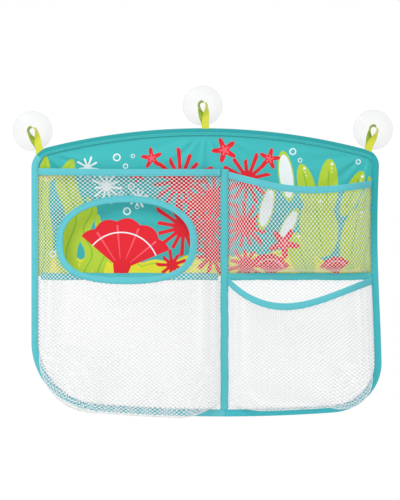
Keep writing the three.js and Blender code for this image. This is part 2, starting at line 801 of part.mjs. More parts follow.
// A loop's root stands this far off the panel's edge, so that its whole width clears the edge when it folds
function rootLift(hanger) {
  const away = new THREE.Vector2(Math.sin(hanger.lean * degree), Math.cos(hanger.lean * degree));
  const along = new THREE.Vector2(away.y, -away.x);
  const base = new THREE.Vector2(hanger.seam, topEdge(hanger.seam));
  const highest = Math.max(...steps(8).map((share) => {
    const x = base.x + along.x * mix(-half(ribbon.width), half(ribbon.width), share);
    return new THREE.Vector2(x, topEdge(x)).sub(base).dot(away);
  }));
  return highest + clearance + half(clearance) + cloth.ribbon;
}

// Materials
const material = (color, roughness, extra) => new THREE.MeshStandardMaterial({
  color, roughness, metalness: 0, ...extra,
});
const printedPolyester = material(0x45bdbb, 0.75);
const whiteNet = material(0xf2f5f4, 0.7);
const turquoiseTape = material(0x5cc5d0, 0.8);
const deepTape = material(0x2aaeb8, 0.8);
const darkTape = material(0x1f9ea6, 0.8);
const limeRibbon = material(0xd5dc3a, 0.7);
const clearPlastic = material(0xeef1f2, 0.15, { transparent: true, opacity: 0.35 });

const organizer = new THREE.Group();
function add(name, geometry, look, parent = organizer) {
  const mesh = new THREE.Mesh(geometry, look);
  mesh.name = name;
  parent.add(mesh);
  return mesh;
}

// Panel and its tapes
add('back_panel_print', printedPanel(), printedPolyester);
add('back_panel_mesh', netPanel(), whiteNet);
add('top_binding', edgeTape(topStations()), darkTape);
add('left_binding', edgeTape(sideStations('left', clearance)), turquoiseTape);
add('right_binding', edgeTape(sideStations('right', clearance)), turquoiseTape);
add('back_seam_tape', flatTape(
  outerX(pockets.left, inset.netClear + pocketWall.bandStart),
  innerX(pockets.left, ringInset.tape[1] + pocketWall.bandStart),
  seamZ - half(tape.seamWidth),
  seamZ + half(tape.seamWidth),
  level.hemBack,
), deepTape);

// Tapes over the seams between the pockets
const tapeFoot = bottomEdge(tape.centreX, tape.edgeWidth + clearance);
add('centre_tape', flatTape(
  tape.centreX - half(tape.centreWidth),
  tape.centreX + half(tape.centreWidth),
  tapeFoot,
  crown - pockets.left.rightDrop,
  level.tapeBack,
), deepTape);
add('horizontal_tape', flatTape(
  tape.centreX + half(tape.centreWidth) + clearance,
  panel.right - tape.edgeWidth - clearance,
  seamZ - half(tape.seamWidth),
  seamZ + half(tape.seamWidth),
  level.tapeBack,
), deepTape);

// Pockets
const leftPocket = pocketPieces(pockets.left);
add('left_pocket_mesh', leftPocket.net, whiteNet);
add('left_pocket_band', leftPocket.band, turquoiseTape);
add('window_binding', leftPocket.window, turquoiseTape);
const upperRightPocket = pocketPieces(pockets.upperRight);
add('upper_right_pocket_mesh', upperRightPocket.net, whiteNet);
add('upper_right_pocket_band', upperRightPocket.band, turquoiseTape);
const lowerRightPocket = pocketPieces(pockets.lowerRight);
add('lower_right_pocket_mesh', lowerRightPocket.net, whiteNet);
add('lower_right_pocket_band', lowerRightPocket.band, turquoiseTape);

// Hanging loops and suction cups, each pair in a group that leans with its loop
for (const [name, hanger] of Object.entries(hangers)) {
  const group = new THREE.Group();
  group.position.set(hanger.seam, 0, topEdge(hanger.seam));
  group.rotation.y = hanger.lean * degree;
  add(`${name}_loop`, ribbonLoop(hanger), limeRibbon, group);
  const disc = add(`${name}_cup`, suctionCup(), clearPlastic, group);
  disc.position.z = hanger.reach;
  organizer.add(group);
}

export default organizer;
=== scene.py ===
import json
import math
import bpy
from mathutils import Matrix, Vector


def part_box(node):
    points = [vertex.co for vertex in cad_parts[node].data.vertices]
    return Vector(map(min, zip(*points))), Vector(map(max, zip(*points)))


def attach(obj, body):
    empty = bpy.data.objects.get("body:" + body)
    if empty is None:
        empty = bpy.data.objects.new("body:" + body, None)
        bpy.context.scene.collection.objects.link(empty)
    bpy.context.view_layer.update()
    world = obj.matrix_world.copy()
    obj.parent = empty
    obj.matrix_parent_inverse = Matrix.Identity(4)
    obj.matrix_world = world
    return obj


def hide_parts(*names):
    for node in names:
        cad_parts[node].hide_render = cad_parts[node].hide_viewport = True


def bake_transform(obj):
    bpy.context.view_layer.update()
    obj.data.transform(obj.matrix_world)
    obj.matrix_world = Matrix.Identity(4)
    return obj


bl_info = {
    "name": "Bath Toy Organizer",
    "version": (1, 0, 0),
    "blender": (4, 5, 0),
    "location": "3D View > Sidebar > Organizer",
    "description": "Dresses a bath toy organizer in printed cloth, net, folded tape and clear plastic",
    "category": "Add Mesh",
}

import bpy
import numpy as np
from bpy.props import FloatProperty, FloatVectorProperty, PointerProperty
from mathutils import Vector

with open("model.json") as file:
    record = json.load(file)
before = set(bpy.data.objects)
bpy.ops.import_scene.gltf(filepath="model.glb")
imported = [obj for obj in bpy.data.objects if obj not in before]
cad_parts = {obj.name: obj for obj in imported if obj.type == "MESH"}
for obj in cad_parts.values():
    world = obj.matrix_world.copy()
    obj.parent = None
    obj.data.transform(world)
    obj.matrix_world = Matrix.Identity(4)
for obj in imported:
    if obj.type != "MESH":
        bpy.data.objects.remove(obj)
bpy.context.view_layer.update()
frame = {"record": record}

MM = 0.001
FULL_TURN = 2 * math.pi
FABRIC_BODY = "organizer"
HANGERS = ("left", "centre", "right")


# Sizes and colours that a user would change

def length(name, description, millimetres):
    """A length property, whose default is given in millimetres."""
    return FloatProperty(
        name=name, description=description, default=millimetres * MM, unit="LENGTH", precision=4
    )


def colour(name, description, value):
    """A colour property, whose default is given as display red, green and blue, by the curve of sRGB."""
    linear = tuple(v / 12.92 if v <= 0.04045 else ((v + 0.055) / 1.055) ** 2.4 for v in value)
    return FloatVectorProperty(
        name=name, description=description, default=linear, subtype="COLOR", size=3, min=0, max=1
    )


class OrganizerPanelSizes(bpy.types.PropertyGroup):
    """The panel's outline, its layers and its tapes."""

    left: length("Left reach", "From the middle cup to the left edge", 235.5)
    right: length("Right reach", "From the middle cup to the right edge", 243.5)
    crown: length("Crown", "Height of the top edge's crown", -31.91)
    height: length("Height", "From the crown to the lowest point", 396.5)
    top_radius: length("Top radius", "Radius of the arched top edge", 880)
    bottom_radius: length("Bottom radius", "Radius of the bowed bottom edge", 2000)
    bottom_middle: length("Bottom middle", "Where the bottom edge is lowest", 30)
    top_left: length("Top left corner", "Radius of this corner", 30)
    top_right: length("Top right corner", "Radius of this corner", 24)
    bottom_left: length("Bottom left corner", "Radius of this corner", 95)
    bottom_right: length("Bottom right corner", "Radius of this corner", 70)
    back: length("Panel back", "Level of the panel's back face", -13.7)
    cloth: length("Panel cloth", "Thickness of the printed cloth", 0.6)
    seam_drop: length("Seam drop", "From the crown to the seam between print and net", 204)
    wrinkle: length("Wrinkle height", "Height of the soft wrinkles in the print", 1.8)


class OrganizerTapeSizes(bpy.types.PropertyGroup):
    """The folded tapes and their stitching."""

    width: length("Tape width", "Width of the folded tape", 9.5)
    thickness: length("Tape thickness", "Thickness of the tape's cloth", 0.7)
    centre_width: length("Centre tape width", "Width of the tape between the pockets", 10.5)
    centre_x: length("Centre tape place", "Where the tape between the pockets stands", 30)
    step: length("Tape step", "Spacing of the stations along a tape", 2.5)
    stitch_length: length("Stitch length", "Length of one stitch", 2.3)
    stitch_pitch: length("Stitch pitch", "From one stitch to the next", 3.1)
    stitch_radius: length("Thread radius", "Radius of the thread", 0.28)
    stitch_inset: length("Stitch inset", "From the tape's inner edge to its stitches", 1.8)
    ripple: length("Ripple", "Height of the small ripples that sewing leaves", 0.22)


class OrganizerNetSizes(bpy.types.PropertyGroup):
    """The net's diamonds."""

    long_pitch: length("Diamond length", "The longer way across one diamond", 6.6)
    short_pitch: length("Diamond width", "The shorter way across one diamond", 5.2)
    strand: length("Strand width", "Width of one strand", 0.58)
    thickness: length("Strand thickness", "Thickness of a strand at its middle", 0.6)
    waviness: length("Unevenness", "How far the net's soft dents reach", 2.2)


class OrganizerCupSizes(bpy.types.PropertyGroup):
    """The suction cups and their ribbon loops."""

    diameter: length("Cup diameter", "Diameter of a suction cup", 55)
    body: length("Cup body", "From the lip to the neck", 9)
    shoulder: length("Shoulder radius", "Radius of the body's flat top", 10.5)
    neck_radius: length("Neck radius", "Radius of the neck", 3.2)
    neck_length: length("Neck length", "From the body to the head", 9.4)
    head_radius: length("Head radius", "Radius of the head", 7.5)
    head: length("Head thickness", "Thickness of the head", 5)
    ribbon_width: length("Ribbon width", "Width of the ribbon", 10)
    neck_width: length("Width at the neck", "Width of the ribbon where it passes the neck", 8)
    ribbon_thickness: length("Ribbon thickness", "Thickness of the ribbon", 0.8)


class OrganizerColours(bpy.types.PropertyGroup):
    """Colours of the cloths, the print and the plastic."""

    ground: colour("Print ground", "Ground of the print", (0.235, 0.73, 0.735))
    print_red: colour("Print red", "Red of the print", (0.90, 0.10, 0.17))
    print_pink: colour("Print pink", "Lines on the red of the print", (0.97, 0.36, 0.42))
    print_lime: colour("Print lime", "Lime of the print", (0.71, 0.82, 0.22))
    print_green: colour("Print green", "Shade on the lime of the print", (0.50, 0.74, 0.20))
    print_yellow: colour("Print yellow", "Yellow of the print", (0.90, 0.88, 0.20))
    print_white: colour("Print white", "White of the print", (0.93, 0.96, 0.97))
    reverse: colour("Print reverse", "Back of the printed cloth", (0.74, 0.88, 0.88))
    tape: colour("Tape", "Edge tape, pocket bands and window tape", (0.35, 0.77, 0.81))
    deep_tape: colour("Deep tape", "Tapes on the seams", (0.31, 0.765, 0.785))
    dark_tape: colour("Dark tape", "Tape over the top edge", (0.03, 0.63, 0.645))
    # The right side's two tape colours are painted shade: darker than the left tape, and darker still
    # beside the print.
    side_tape: colour("Side tape", "Edge tape on the right side", (0.22, 0.74, 0.78))
    upper_side_tape: colour("Upper side tape", "Right edge tape beside the print", (0.13, 0.68, 0.7))
    net: colour("Net", "Yarn of the net", (0.985, 0.99, 0.995))
    ribbon: colour("Ribbon", "Outside of the loops", (0.84, 0.86, 0.20))
    # The ribbon's inside colour is painted shade: a darker copy of its own colour for the inner face.
    ribbon_inside: colour("Ribbon inside", "Inside of the loops", (0.60, 0.74, 0.20))
    cup: colour("Cup", "Clear plastic of the cups", (0.87, 0.885, 0.89))


# A small language for surface materials

class Value:
    """A number that varies over a surface: arithmetic on it adds Math nodes."""

    def __init__(self, look, socket):
        self.look = look
        self.socket = socket

    def math(self, operation, *others, held=False):
        """This value and the others through one Math node, held between 0 and 1 where asked."""
        settings = {"operation": operation, "use_clamp": held}
        return self.look.node("ShaderNodeMath", settings, (self, *others))

    def __add__(self, other):
        return self.math("ADD", other)

    def __radd__(self, other):
        return self.math("ADD", other)

    def __sub__(self, other):
        return self.math("SUBTRACT", other)

    def __rsub__(self, other):
        return self.look.node("ShaderNodeMath", {"operation": "SUBTRACT"}, (other, self))

    def __mul__(self, other):
        return self.math("MULTIPLY", other)

    def __rmul__(self, other):
        return self.math("MULTIPLY", other)

    def __truediv__(self, other):
        return self.math("DIVIDE", other)

    def __rtruediv__(self, other):
        return self.look.node("ShaderNodeMath", {"operation": "DIVIDE"}, (other, self))

    def __pow__(self, other):
        return self.math("POWER", other)

    def __abs__(self):
        return self.math("ABSOLUTE")

    def least(self, other):
        """The lower of the two."""
        return self.math("MINIMUM", other)

    def most(self, other):
        """The higher of the two."""
        return self.math("MAXIMUM", other)

    def sine(self):
        """The sine of this value in radians."""
        return self.math("SINE")

    def cosine(self):
        """The cosine of this value in radians."""
        return self.math("COSINE")

    def clamped(self):
        """This value held between 0 and 1."""
        return self.math("ADD", 0, held=True)


class Look:
    """A material under construction."""

    def __init__(self, name):
        self.material = bpy.data.materials.new(name)
        self.material.use_nodes = True
        self.tree = self.material.node_tree
        self.shader = self.tree.nodes["Principled BSDF"]

    def node(self, kind, settings=None, inputs=(), output=0):
        """Adds a node, sets its settings first, then its inputs, and returns one of its outputs."""
        made = self.tree.nodes.new(kind)
        for name, value in (settings or {}).items():
            if name == "stops":
                self.set_stops(made.color_ramp, value)
            elif getattr(made, name) != value:
                setattr(made, name, value)
        pairs = inputs.items() if isinstance(inputs, dict) else enumerate(inputs)
        for key, value in pairs:
            self.feed(made.inputs[key], value)
        return Value(self, made.outputs[output])

    def feed(self, socket, value):
        """Links a value to a socket, or sets a plain number or colour on it."""
        if isinstance(value, Value):
            self.tree.links.new(value.socket, socket)
        elif hasattr(value, "__len__") and len(value) == 3 and socket.type == "RGBA":
            socket.default_value = (*value, 1)
        else:
            socket.default_value = value

    def set_stops(self, ramp, stops):
        """Gives a colour ramp its stops."""
        while len(ramp.elements) < len(stops):
            ramp.elements.new(1)
        for element, (place, tint) in zip(ramp.elements, stops):
            element.position = place
            element.color = (*tint, 1)

    def place(self):
        """The point in the row frame, as X, Y and Z in millimetres."""
        point = self.node("ShaderNodeTexCoord", output="Object")
        split = self.node("ShaderNodeSeparateXYZ", inputs=(point,))
        outputs = split.socket.node.outputs
        return [Value(self, outputs[axis]) / MM for axis in range(3)]

    def cloth(self):
        """Where a point lies along and across its cloth, in millimetres."""
        attribute = self.node("ShaderNodeAttribute", {"attribute_name": "cloth"}, output="Vector")
        split = self.node("ShaderNodeSeparateXYZ", inputs=(attribute,))
        outputs = split.socket.node.outputs
        return [Value(self, outputs[axis]) / MM for axis in range(2)]

    def vector(self, x, y, z=0):
        """Three numbers as one vector."""
        return self.node("ShaderNodeCombineXYZ", inputs=(x, y, z))

    def mix(self, low, high, mask):
        """One colour over another, where the mask is 1."""
        settings = {"data_type": "RGBA"}
        return self.node("ShaderNodeMix", settings, {0: mask, 6: low, 7: high}, output=2)

    def tinted(self, tint, dark_share, mask):
        """A colour that runs from a darker shade, where the mask is 0, to the tint, where it is 1."""
        return self.mix(shaded(tint, dark_share), tint, mask.clamped())

    def noise(self, vector, scale, detail=2):
        """Noise whose grains are about 1 / scale millimetres wide."""
        return self.node("ShaderNodeTexNoise", {}, {"Vector": vector, "Scale": scale, "Detail": detail})

    def bump(self, height, strength, distance):
        """Feeds a height field to the shader's normal."""
        settings = {"Height": height, "Strength": strength, "Distance": distance}
        self.feed(self.shader.inputs["Normal"], self.node("ShaderNodeBump", {}, settings))

    def set(self, name, value):
        """Feeds one of the shader's own sockets."""
        self.feed(self.shader.inputs[name], value)


def shaded(tint, share):
    """A colour made darker: each channel times a share."""
    return tuple(share * v for v in tint)


def weave(along, across, pitch):
    """Height of a plain weave: warp and weft cross in a checkerboard of half waves."""
    turn = math.pi / pitch
    warp = (along * turn).sine()
    weft = (across * turn).sine()
    return abs(warp * weft)


TAPE_PATCH_GRAIN, TAPE_THREAD_GRAIN, TAPE_THREAD_STRETCH = 0.045, 1.6, 0.35
TAPE_PATCH_SHARE, TAPE_THREAD_SHARE = 0.22, 0.16
TAPE_MIDDLE_SHARE, TINT_MIDDLE_SHARE = 0.55, 0.6
TAPE_DARK_SHARE, TAPE_PALE_SHARE, TAPE_PALE_LIFT = 0.80, 1.10, 0.02
INNER_DARK_SHARE, UPPER_DARK_SHARE = 0.88, 0.85
TAPE_FOLD = -3.8
TAPE_FOLD_BLEND = 1.6
UPPER_SHADE_FOOT = -215
UPPER_SHADE_RUN = 60
TWILL_PITCH, TWILL_SLANT, TWILL_THREAD_SHARE = 0.7, 0.5, 0.6
CLOTH_PITCH = 0.8
PLY_TURN, PLY_SLANT, PLY_DARK_SHARE = 10, 6, 0.72
NET_GRAIN, NET_DARK_SHARE = 1.1, 0.94
RIB_TURN, RIB_SHARE, RIB_DARK_SHARE = 7, 0.6, 0.86
RIBBON_EDGE, RIBBON_EDGE_BLEND, RIBBON_EDGE_SHARE = 4.1, 3, 0.82
CUP_LIP_START, CUP_LIP_RUN = 26, 1.2
CUP_HIGHLIGHT_START, CUP_HIGHLIGHT_RUN = 6, 16
CUP_RING_TURN, CUP_DARK_SHARE = 1.1, 0.94
ALPHA_SHARE, HIGHLIGHT_FADE_ALPHA_SHARE, RING_ALPHA_SHARE, LIP_ALPHA_SHARE = 0.045, 0.115, 0.02, 0.13
REVERSE_GRAIN, REVERSE_DARK_SHARE = 0.02, 0.9


def tape_material(name, tint, inner_tint=None, upper_shade_tint=None):
    """Woven folded tape: a fine twill in uneven shades. Inside its fold line it may take a second
    tint, and above a given height it may take another tint, painted shade."""
    look = Look(name)
    along, across = look.cloth()
    patches = look.noise(look.vector(along, across), scale=TAPE_PATCH_GRAIN, detail=3)
    threads = look.noise(look.vector(along * TAPE_THREAD_STRETCH, across), scale=TAPE_THREAD_GRAIN)
    shade = (patches - 0.5) * TAPE_PATCH_SHARE + (threads - 0.5) * TAPE_THREAD_SHARE
    pale = tuple(min(1, TAPE_PALE_SHARE * v + TAPE_PALE_LIFT) for v in tint)
    paint = look.mix(shaded(tint, TAPE_DARK_SHARE), pale, (shade + TAPE_MIDDLE_SHARE).clamped())
    if inner_tint:
        inside = ((TAPE_FOLD - across) * TAPE_FOLD_BLEND + 0.5).clamped()
        inner = look.tinted(inner_tint, INNER_DARK_SHARE, shade + TINT_MIDDLE_SHARE)
        paint = look.mix(paint, inner, inside)
    # Painted shade: above the given height the tape fades into a darker tint.
    if upper_shade_tint:
        height = look.place()[2]
        above = ((height - UPPER_SHADE_FOOT) / UPPER_SHADE_RUN).clamped()
        upper = look.tinted(upper_shade_tint, UPPER_DARK_SHARE, shade + TINT_MIDDLE_SHARE)
        paint = look.mix(paint, upper, above)
    look.set("Base Color", paint)
    look.set("Roughness", 0.82)
    look.set("Sheen Weight", 0.1)
    twill = weave(along + across * TWILL_SLANT, across, TWILL_PITCH)
    look.bump(twill + threads * TWILL_THREAD_SHARE, strength=0.35, distance=0.0004)
    return look.material


def thread_material(name, tint):
    """Sewing thread: two plies that turn along each stitch."""
    look = Look(name)
    along, across = look.cloth()
    plies = (along * PLY_TURN + across * PLY_SLANT).sine()
    look.set("Base Color", look.tinted(tint, PLY_DARK_SHARE, plies * 0.5 + 0.5))
    look.set("Roughness", 0.6)
    look.bump(plies, strength=0.3, distance=0.0002)
    return look.material


def net_material(name, tint):
    """Knitted polyester net: white yarn with a soft, slightly uneven lustre."""
    look = Look(name)
    loops = look.noise(look.vector(*look.place()), scale=NET_GRAIN)
    look.set("Base Color", look.tinted(tint, NET_DARK_SHARE, loops))
    look.set("Roughness", 0.55)
    look.set("Sheen Weight", 0.15)
    look.bump(loops, strength=0.4, distance=0.0003)
    return look.material


def ribbon_material(name, tint):
    """Grosgrain ribbon: fine ribs across its width and a firm woven edge."""
    look = Look(name)
    along, across = look.cloth()
    ribs = (along * RIB_TURN).sine() * 0.5 + 0.5
    edge = ((abs(across) - RIBBON_EDGE) * RIBBON_EDGE_BLEND).clamped()
    ribbed = look.tinted(tint, RIB_DARK_SHARE, ribs * RIB_SHARE + (1 - RIB_SHARE))
    look.set("Base Color", look.mix(ribbed, shaded(tint, RIBBON_EDGE_SHARE), edge))
    look.set("Roughness", 0.62)
    look.set("Sheen Weight", 0.2)
    look.bump(ribs, strength=0.3, distance=0.0003)
    return look.material


def plastic_material(name, tint):
    """Clear soft plastic, a little milky, with faint flow rings round each cup's axis and a denser lip.
    It is clearer in each cup's middle than towards its rim: a painted highlight in the middle.
    """
    look = Look(name)
    across = look.cloth()[1]
    rings = (across * CUP_RING_TURN).sine() * 0.5 + 0.5
    lip = ((across - CUP_LIP_START) / CUP_LIP_RUN).clamped()
    # Painted highlight: the plastic is clearer near each cup's middle, so the white behind shows.
    painted_highlight_fade = ((across - CUP_HIGHLIGHT_START) / CUP_HIGHLIGHT_RUN).clamped()
    look.set("Base Color", look.tinted(tint, CUP_DARK_SHARE, rings))
    look.set("Roughness", 0.12)
    alpha = ALPHA_SHARE + painted_highlight_fade * HIGHLIGHT_FADE_ALPHA_SHARE + rings * RING_ALPHA_SHARE + lip * LIP_ALPHA_SHARE
    look.set("Alpha", alpha)
    look.bump(rings, strength=0.12, distance=0.0003)
    return look.material


def reverse_material(name, tint):
    """The print's unprinted back, where the dye shows through in soft patches."""
    look = Look(name)
    x, z = look.place()[::2]
    cast = look.noise(look.vector(x, z), scale=REVERSE_GRAIN, detail=3)
    look.set("Base Color", look.tinted(tint, REVERSE_DARK_SHARE, cast))
    look.set("Roughness", 0.75)
    look.bump(weave(x, z, CLOTH_PITCH), strength=0.2, distance=0.0003)
    return look.material


# The print: sea-side motifs of this script's own, in flat colours, placed in millimetres

SWELLS = (
    # height, turns of its wave along x
    (-150, 0.034), (-178, 0.041),
)
TIDE_WAVES = (
    # height, turns along x, phase
    (5, 0.021, 0), (3, 0.052, 1.3),
)
SAND_LEVEL, SAND_DUNE, SAND_TURN = -212, 7, 0.075
SAND_LINE, SAND_LINE_DROP = 1.1, 5
SWELL_HEIGHT = 6
DEEP_LEVEL, DEEP_RUN = -190, 120
DEEP_SHARE, SWELL_SHARE = 0.93, 0.88
STARFISH = (
    # x, z, reach, turn in degrees
    (-70, -73, 15, 8), (30, -62, 18, 22), (92, -74, 15, 60), (112, -190, 22, 41), (-90, -98, 10, 30),
)
ANEMONES = (
    # x, z, reach, spokes, half width of a spoke, turn in degrees, white
    (-132, -112, 25, 11, 1.9, 0, 1), (-158, -86, 17, 9, 1.5, 20, 1), (-88, -128, 16, 9, 1.6, 5, 1),
    (-30, -104, 48, 15, 3.0, 4, 0), (16, -128, 40, 13, 3.0, 0, 0), (-26, -168, 48, 15, 3.0, 8, 0),
    (14, -206, 32, 11, 3.0, 3, 0), (-42, -220, 24, 9, 2.6, 9, 0), (62, -102, 40, 13, 2.9, 7, 0),
    (58, -166, 38, 13, 3.0, 2, 0), (60, -220, 28, 11, 2.8, 6, 0), (10, -168, 36, 11, 3.0, 6, 0),
    (-4, -136, 30, 9, 3.0, 1, 0),
)
OVALS = (
    # x, z, half width, half height, turn in degrees
    (115, -98, 9, 30, 8), (88, -142, 8, 26, -14), (118, -166, 7, 22, -28),
)
LEAVES = (
    # x, z, half width, half height, turn in degrees
    (144, -116, 12, 36, 14), (172, -116, 14, 42, -4), (206, -122, 11, 34, -24), (160, -168, 26, 42, 8),
    (208, -184, 18, 44, -10), (136, -206, 17, 32, 18),
)
LEAF_DOTS = (
    # below the tip, radius
    (7, 1.9), (12.5, 1.0), (17.5, 0.8),
)
SHELLS = (
    # hinge x, hinge z, reach, lean in degrees
    (-112, -227, 72, -9), (92, -234, 30, -8), (184, -232, 24, 10),
)
FISH = (
    # x, z, half length, turn in degrees
    (-212, -98, 12, 10),
)
BUBBLES = (
    # x, z, radius
    (-118, -72, 4.5), (-106, -84, 3), (-96, -70, 2.4), (124, -64, 4), (134, -76, 2.6), (214, -78, 3.0),
    (-98, -112, 4), (-112, -122, 3), (-104, -146, 4.5), (-90, -140, 2.6), (-206, -205, 4),
)
KELP = (
    # root x, half width, height of the tip, sway, wave length
    (-219, 10.5, -70, 3, 120), (-181, 15, -74, 7, 104), (-158, 10, -126, 6, 62), (-138, 8, -150, 6, 76),
    (226, 8, -98, 4, 70),
)
KELP_TAPER, KELP_RIB, KELP_RIB_DROP = 34, 0.9, 6
LEAF_VEIN, LEAF_VEIN_SHARE, LEAF_DOT_SHARE = 0.8, 0.62, 0.25
SPOKE_LEVEL_SHARE, SPOKE_WAVE_SHARES, SPOKE_WAVE_TURNS = 0.83, (0.10, 0.07), (5, 9)
OVAL_RIM = 1.6
STAR_ARMS, STAR_POWER = 5, 1.4
STAR_ARM_SHARE, STAR_HEART_SHARE = 0.62, 0.42
SHELL_SPREAD, SHELL_RIBS = 1.02, 6.5
SHELL_SIDE_SHARE, SHELL_SCALLOP_SHARE = 0.4, 0.07
HINGE_WIDTH_SHARE, HINGE_SLOPE_SHARE, HINGE_HEIGHT_SHARE = 0.15, 0.25, 0.10
GROOVE_SHARE, GROOVE_SLOPE_SHARE, GROOVE_START_SHARE, GROOVE_END_SHARE = 0.16, 0.1, 0.22, 0.86
PEARL_SHARE, PEARL_WIDTH_SHARE = 0.72, 0.012
FISH_HEIGHT_SHARE, FISH_SLOPE_SHARE = 0.56, 0.4
TAIL_START_SHARE, TAIL_END_SHARE, TAIL_SLOPE_SHARE = 0.72, 1.45, 0.9
BAR_SHARE, BAR_WIDTH_SHARE, BAR_END_SHARE = 0.34, 0.08, 0.8
BUBBLE_WALL_SHARE, GLINT_SHARE, GLINT_SIZE_SHARE = 0.20, 0.35, 0.16
PRINT_EDGE = 0.35


class Print:
    """The print under construction: motifs are laid one over another as flat masks, over a fine weave."""

    def __init__(self, name, colours):
        self.look = Look(name)
        self.colours = colours
        self.x, self.z = self.look.place()[::2]
        self.flat = self.look.vector(self.x, 0, self.z)
        self.paint = tuple(colours.ground)

    def lay(self, tint, mask):
        """Paints a colour over what is there, where the mask is 1."""
        self.paint = self.look.mix(self.paint, tint, mask)

    def inside(self, distance):
        """1 where a distance is below zero, with a soft edge."""
        return distance.math("MULTIPLY_ADD", -1 / PRINT_EDGE, 0.5, held=True)

    def local(self, centre, degrees=0, wide=1, tall=1):
        """A point's place about a motif's centre, turned by the motif's own angle, in shares of its
        size."""
        inputs = {
            "Vector": self.flat, "Location": (centre[0], 0, centre[1]),
            "Rotation": (0, -math.radians(degrees), 0), "Scale": (wide, 1, tall),
        }
        placed = self.look.node("ShaderNodeMapping", {"vector_type": "TEXTURE"}, inputs)
        parts = self.look.node("ShaderNodeSeparateXYZ", inputs=(placed,)).socket.node.outputs
        return Value(self.look, parts[0]), Value(self.look, parts[2])

    def away(self, u, v):
        """Distance from a motif's centre."""
        inputs = (self.look.vector(u, v),)
        return self.look.node("ShaderNodeVectorMath", {"operation": "LENGTH"}, inputs, output="Value")

    def polar(self, u, v):
        """Distance from a motif's centre, and the angle from its upright."""
        return self.away(u, v), u.math("ARCTAN2", v)

    def sea(self):
        """The ground, deeper below, with darker swells and a sandy floor: each is what lies below a
        wavy line."""
        colours, x, z = self.colours, self.x, self.z
        (high, turn, phase), (low, low_turn, low_phase) = TIDE_WAVES
        tide = (x * turn + phase).sine() * high + (x * low_turn + low_phase).sine() * low
        self.paint = self.look.tinted(colours.ground, DEEP_SHARE, (z - DEEP_LEVEL) / DEEP_RUN)
        for crest, turn in SWELLS:
            swell = (x * turn + crest).sine() * SWELL_HEIGHT + tide + crest
            self.lay(shaded(colours.ground, SWELL_SHARE), self.inside(z - swell))
        sand = tide + abs((x * SAND_TURN).sine()) * SAND_DUNE + SAND_LEVEL
        self.lay(colours.print_yellow, self.inside(z - sand))
        self.lay(colours.print_lime, self.inside(abs(z - sand + SAND_LINE_DROP) - SAND_LINE))

    def kelp(self, root, half_width, tip, sway, wave):
        """A blade of weed: the distance from a swaying line, narrowing as a root towards its tip."""
        bend = ((self.z - root) * (FULL_TURN / wave)).sine() * sway
        taper = (((tip - self.z) / KELP_TAPER).clamped()) ** 0.5
        off = abs(self.x - root - bend)
        blade = self.inside(off - taper * half_width).least(self.inside(self.z - tip))
        self.lay(self.colours.print_lime, blade)
        rib = self.inside(off - taper * KELP_RIB).least(self.inside(self.z - tip + KELP_RIB_DROP))
        self.lay(self.colours.print_green, rib)

    def leaf(self, x, z, half_width, half_height, turn):
        """An ellipse with a vein and three white dots below its tip."""
        u, v = self.local((x, z), turn, half_width, half_height)
        self.lay(self.colours.print_lime, self.inside((self.away(u, v) - 1) * half_width))
        vein = self.inside(abs(u) * half_width - LEAF_VEIN)
        vein = vein.least(self.inside((abs(v) - LEAF_VEIN_SHARE) * half_height))
        self.lay(self.colours.print_green, vein)
        u, v = self.local((x, z), turn)
        for below, radius in LEAF_DOTS:
            dot = self.away(u - half_width * LEAF_DOT_SHARE, v - half_height + below)
            self.lay(self.colours.print_white, self.inside(dot - radius))

    def anemone(self, x, z, reach, spokes, half_width, turn, white):
        """Round-ended spokes of uneven length: the distance from the nearest spoke's line, past its
        tip as well."""
        r, angle = self.polar(*self.local((x, z), turn))
        first, second = [
            (angle * turn + phase).sine() * share
            for turn, phase, share in zip(SPOKE_WAVE_TURNS, (x, z), SPOKE_WAVE_SHARES)
        ]
        tips = first + second + SPOKE_LEVEL_SHARE
        off = abs((angle * (spokes / 2)).sine()) * r * (2 / spokes)
        past = (r - tips * reach + half_width).most(0)
        girth = (r * (0.5 / reach) + 0.5) * half_width
        tint = self.colours.print_white if white else self.colours.print_red
        self.lay(tint, self.inside(self.away(off, past) - girth))

    def oval(self, x, z, half_width, half_height, turn):
        """A white ellipse with a lime rim."""
        u, v = self.local((x, z), turn, half_width, half_height)
        edge = (self.away(u, v) - 1) * half_width
        self.lay(self.colours.print_lime, self.inside(edge - OVAL_RIM))
        self.lay(self.colours.print_white, self.inside(edge))

    def starfish(self, x, z, reach, turn):
        """Five arms: the rim's reach is a power of a half cosine of five times the angle."""
        r, angle = self.polar(*self.local((x, z), turn))
        arms = (angle * STAR_ARMS).cosine() * 0.5 + 0.5
        rim = (arms ** STAR_POWER * STAR_ARM_SHARE + (1 - STAR_ARM_SHARE)) * reach
        self.lay(self.colours.print_red, self.inside(r - rim))
        self.lay(self.colours.print_pink, self.inside(r - rim * STAR_HEART_SHARE))

    def shell(self, x, z, reach, lean):
        """A fan with a scalloped rim, a hinge at its foot, pale grooves between its ribs and one
        pearly arc."""
        u, v = self.local((x, z), lean)
        r, angle = self.polar(u, v)
        ribs = abs((angle * SHELL_RIBS).cosine())
        rim = (ribs * SHELL_SCALLOP_SHARE + (1 - SHELL_SCALLOP_SHARE)) * reach
        sides = self.inside((abs(angle) - SHELL_SPREAD) * reach * SHELL_SIDE_SHARE)
        fan = self.inside(r - rim).least(sides)
        hinge = self.inside(abs(u) - reach * HINGE_WIDTH_SHARE - v * HINGE_SLOPE_SHARE)
        hinge = hinge.least(self.inside(abs(v) - reach * HINGE_HEIGHT_SHARE))
        self.lay(self.colours.print_red, fan.most(hinge))
        grooves = self.inside((ribs - GROOVE_SHARE) * reach * GROOVE_SLOPE_SHARE)
        grooves = grooves.least(self.inside(r - reach * GROOVE_END_SHARE))
        grooves = grooves.least(self.inside(reach * GROOVE_START_SHARE - r))
        self.lay(self.colours.print_pink, grooves.least(fan))
        pearl = self.inside(abs(r - reach * PEARL_SHARE) - reach * PEARL_WIDTH_SHARE)
        self.lay(self.colours.print_white, pearl.least(fan))

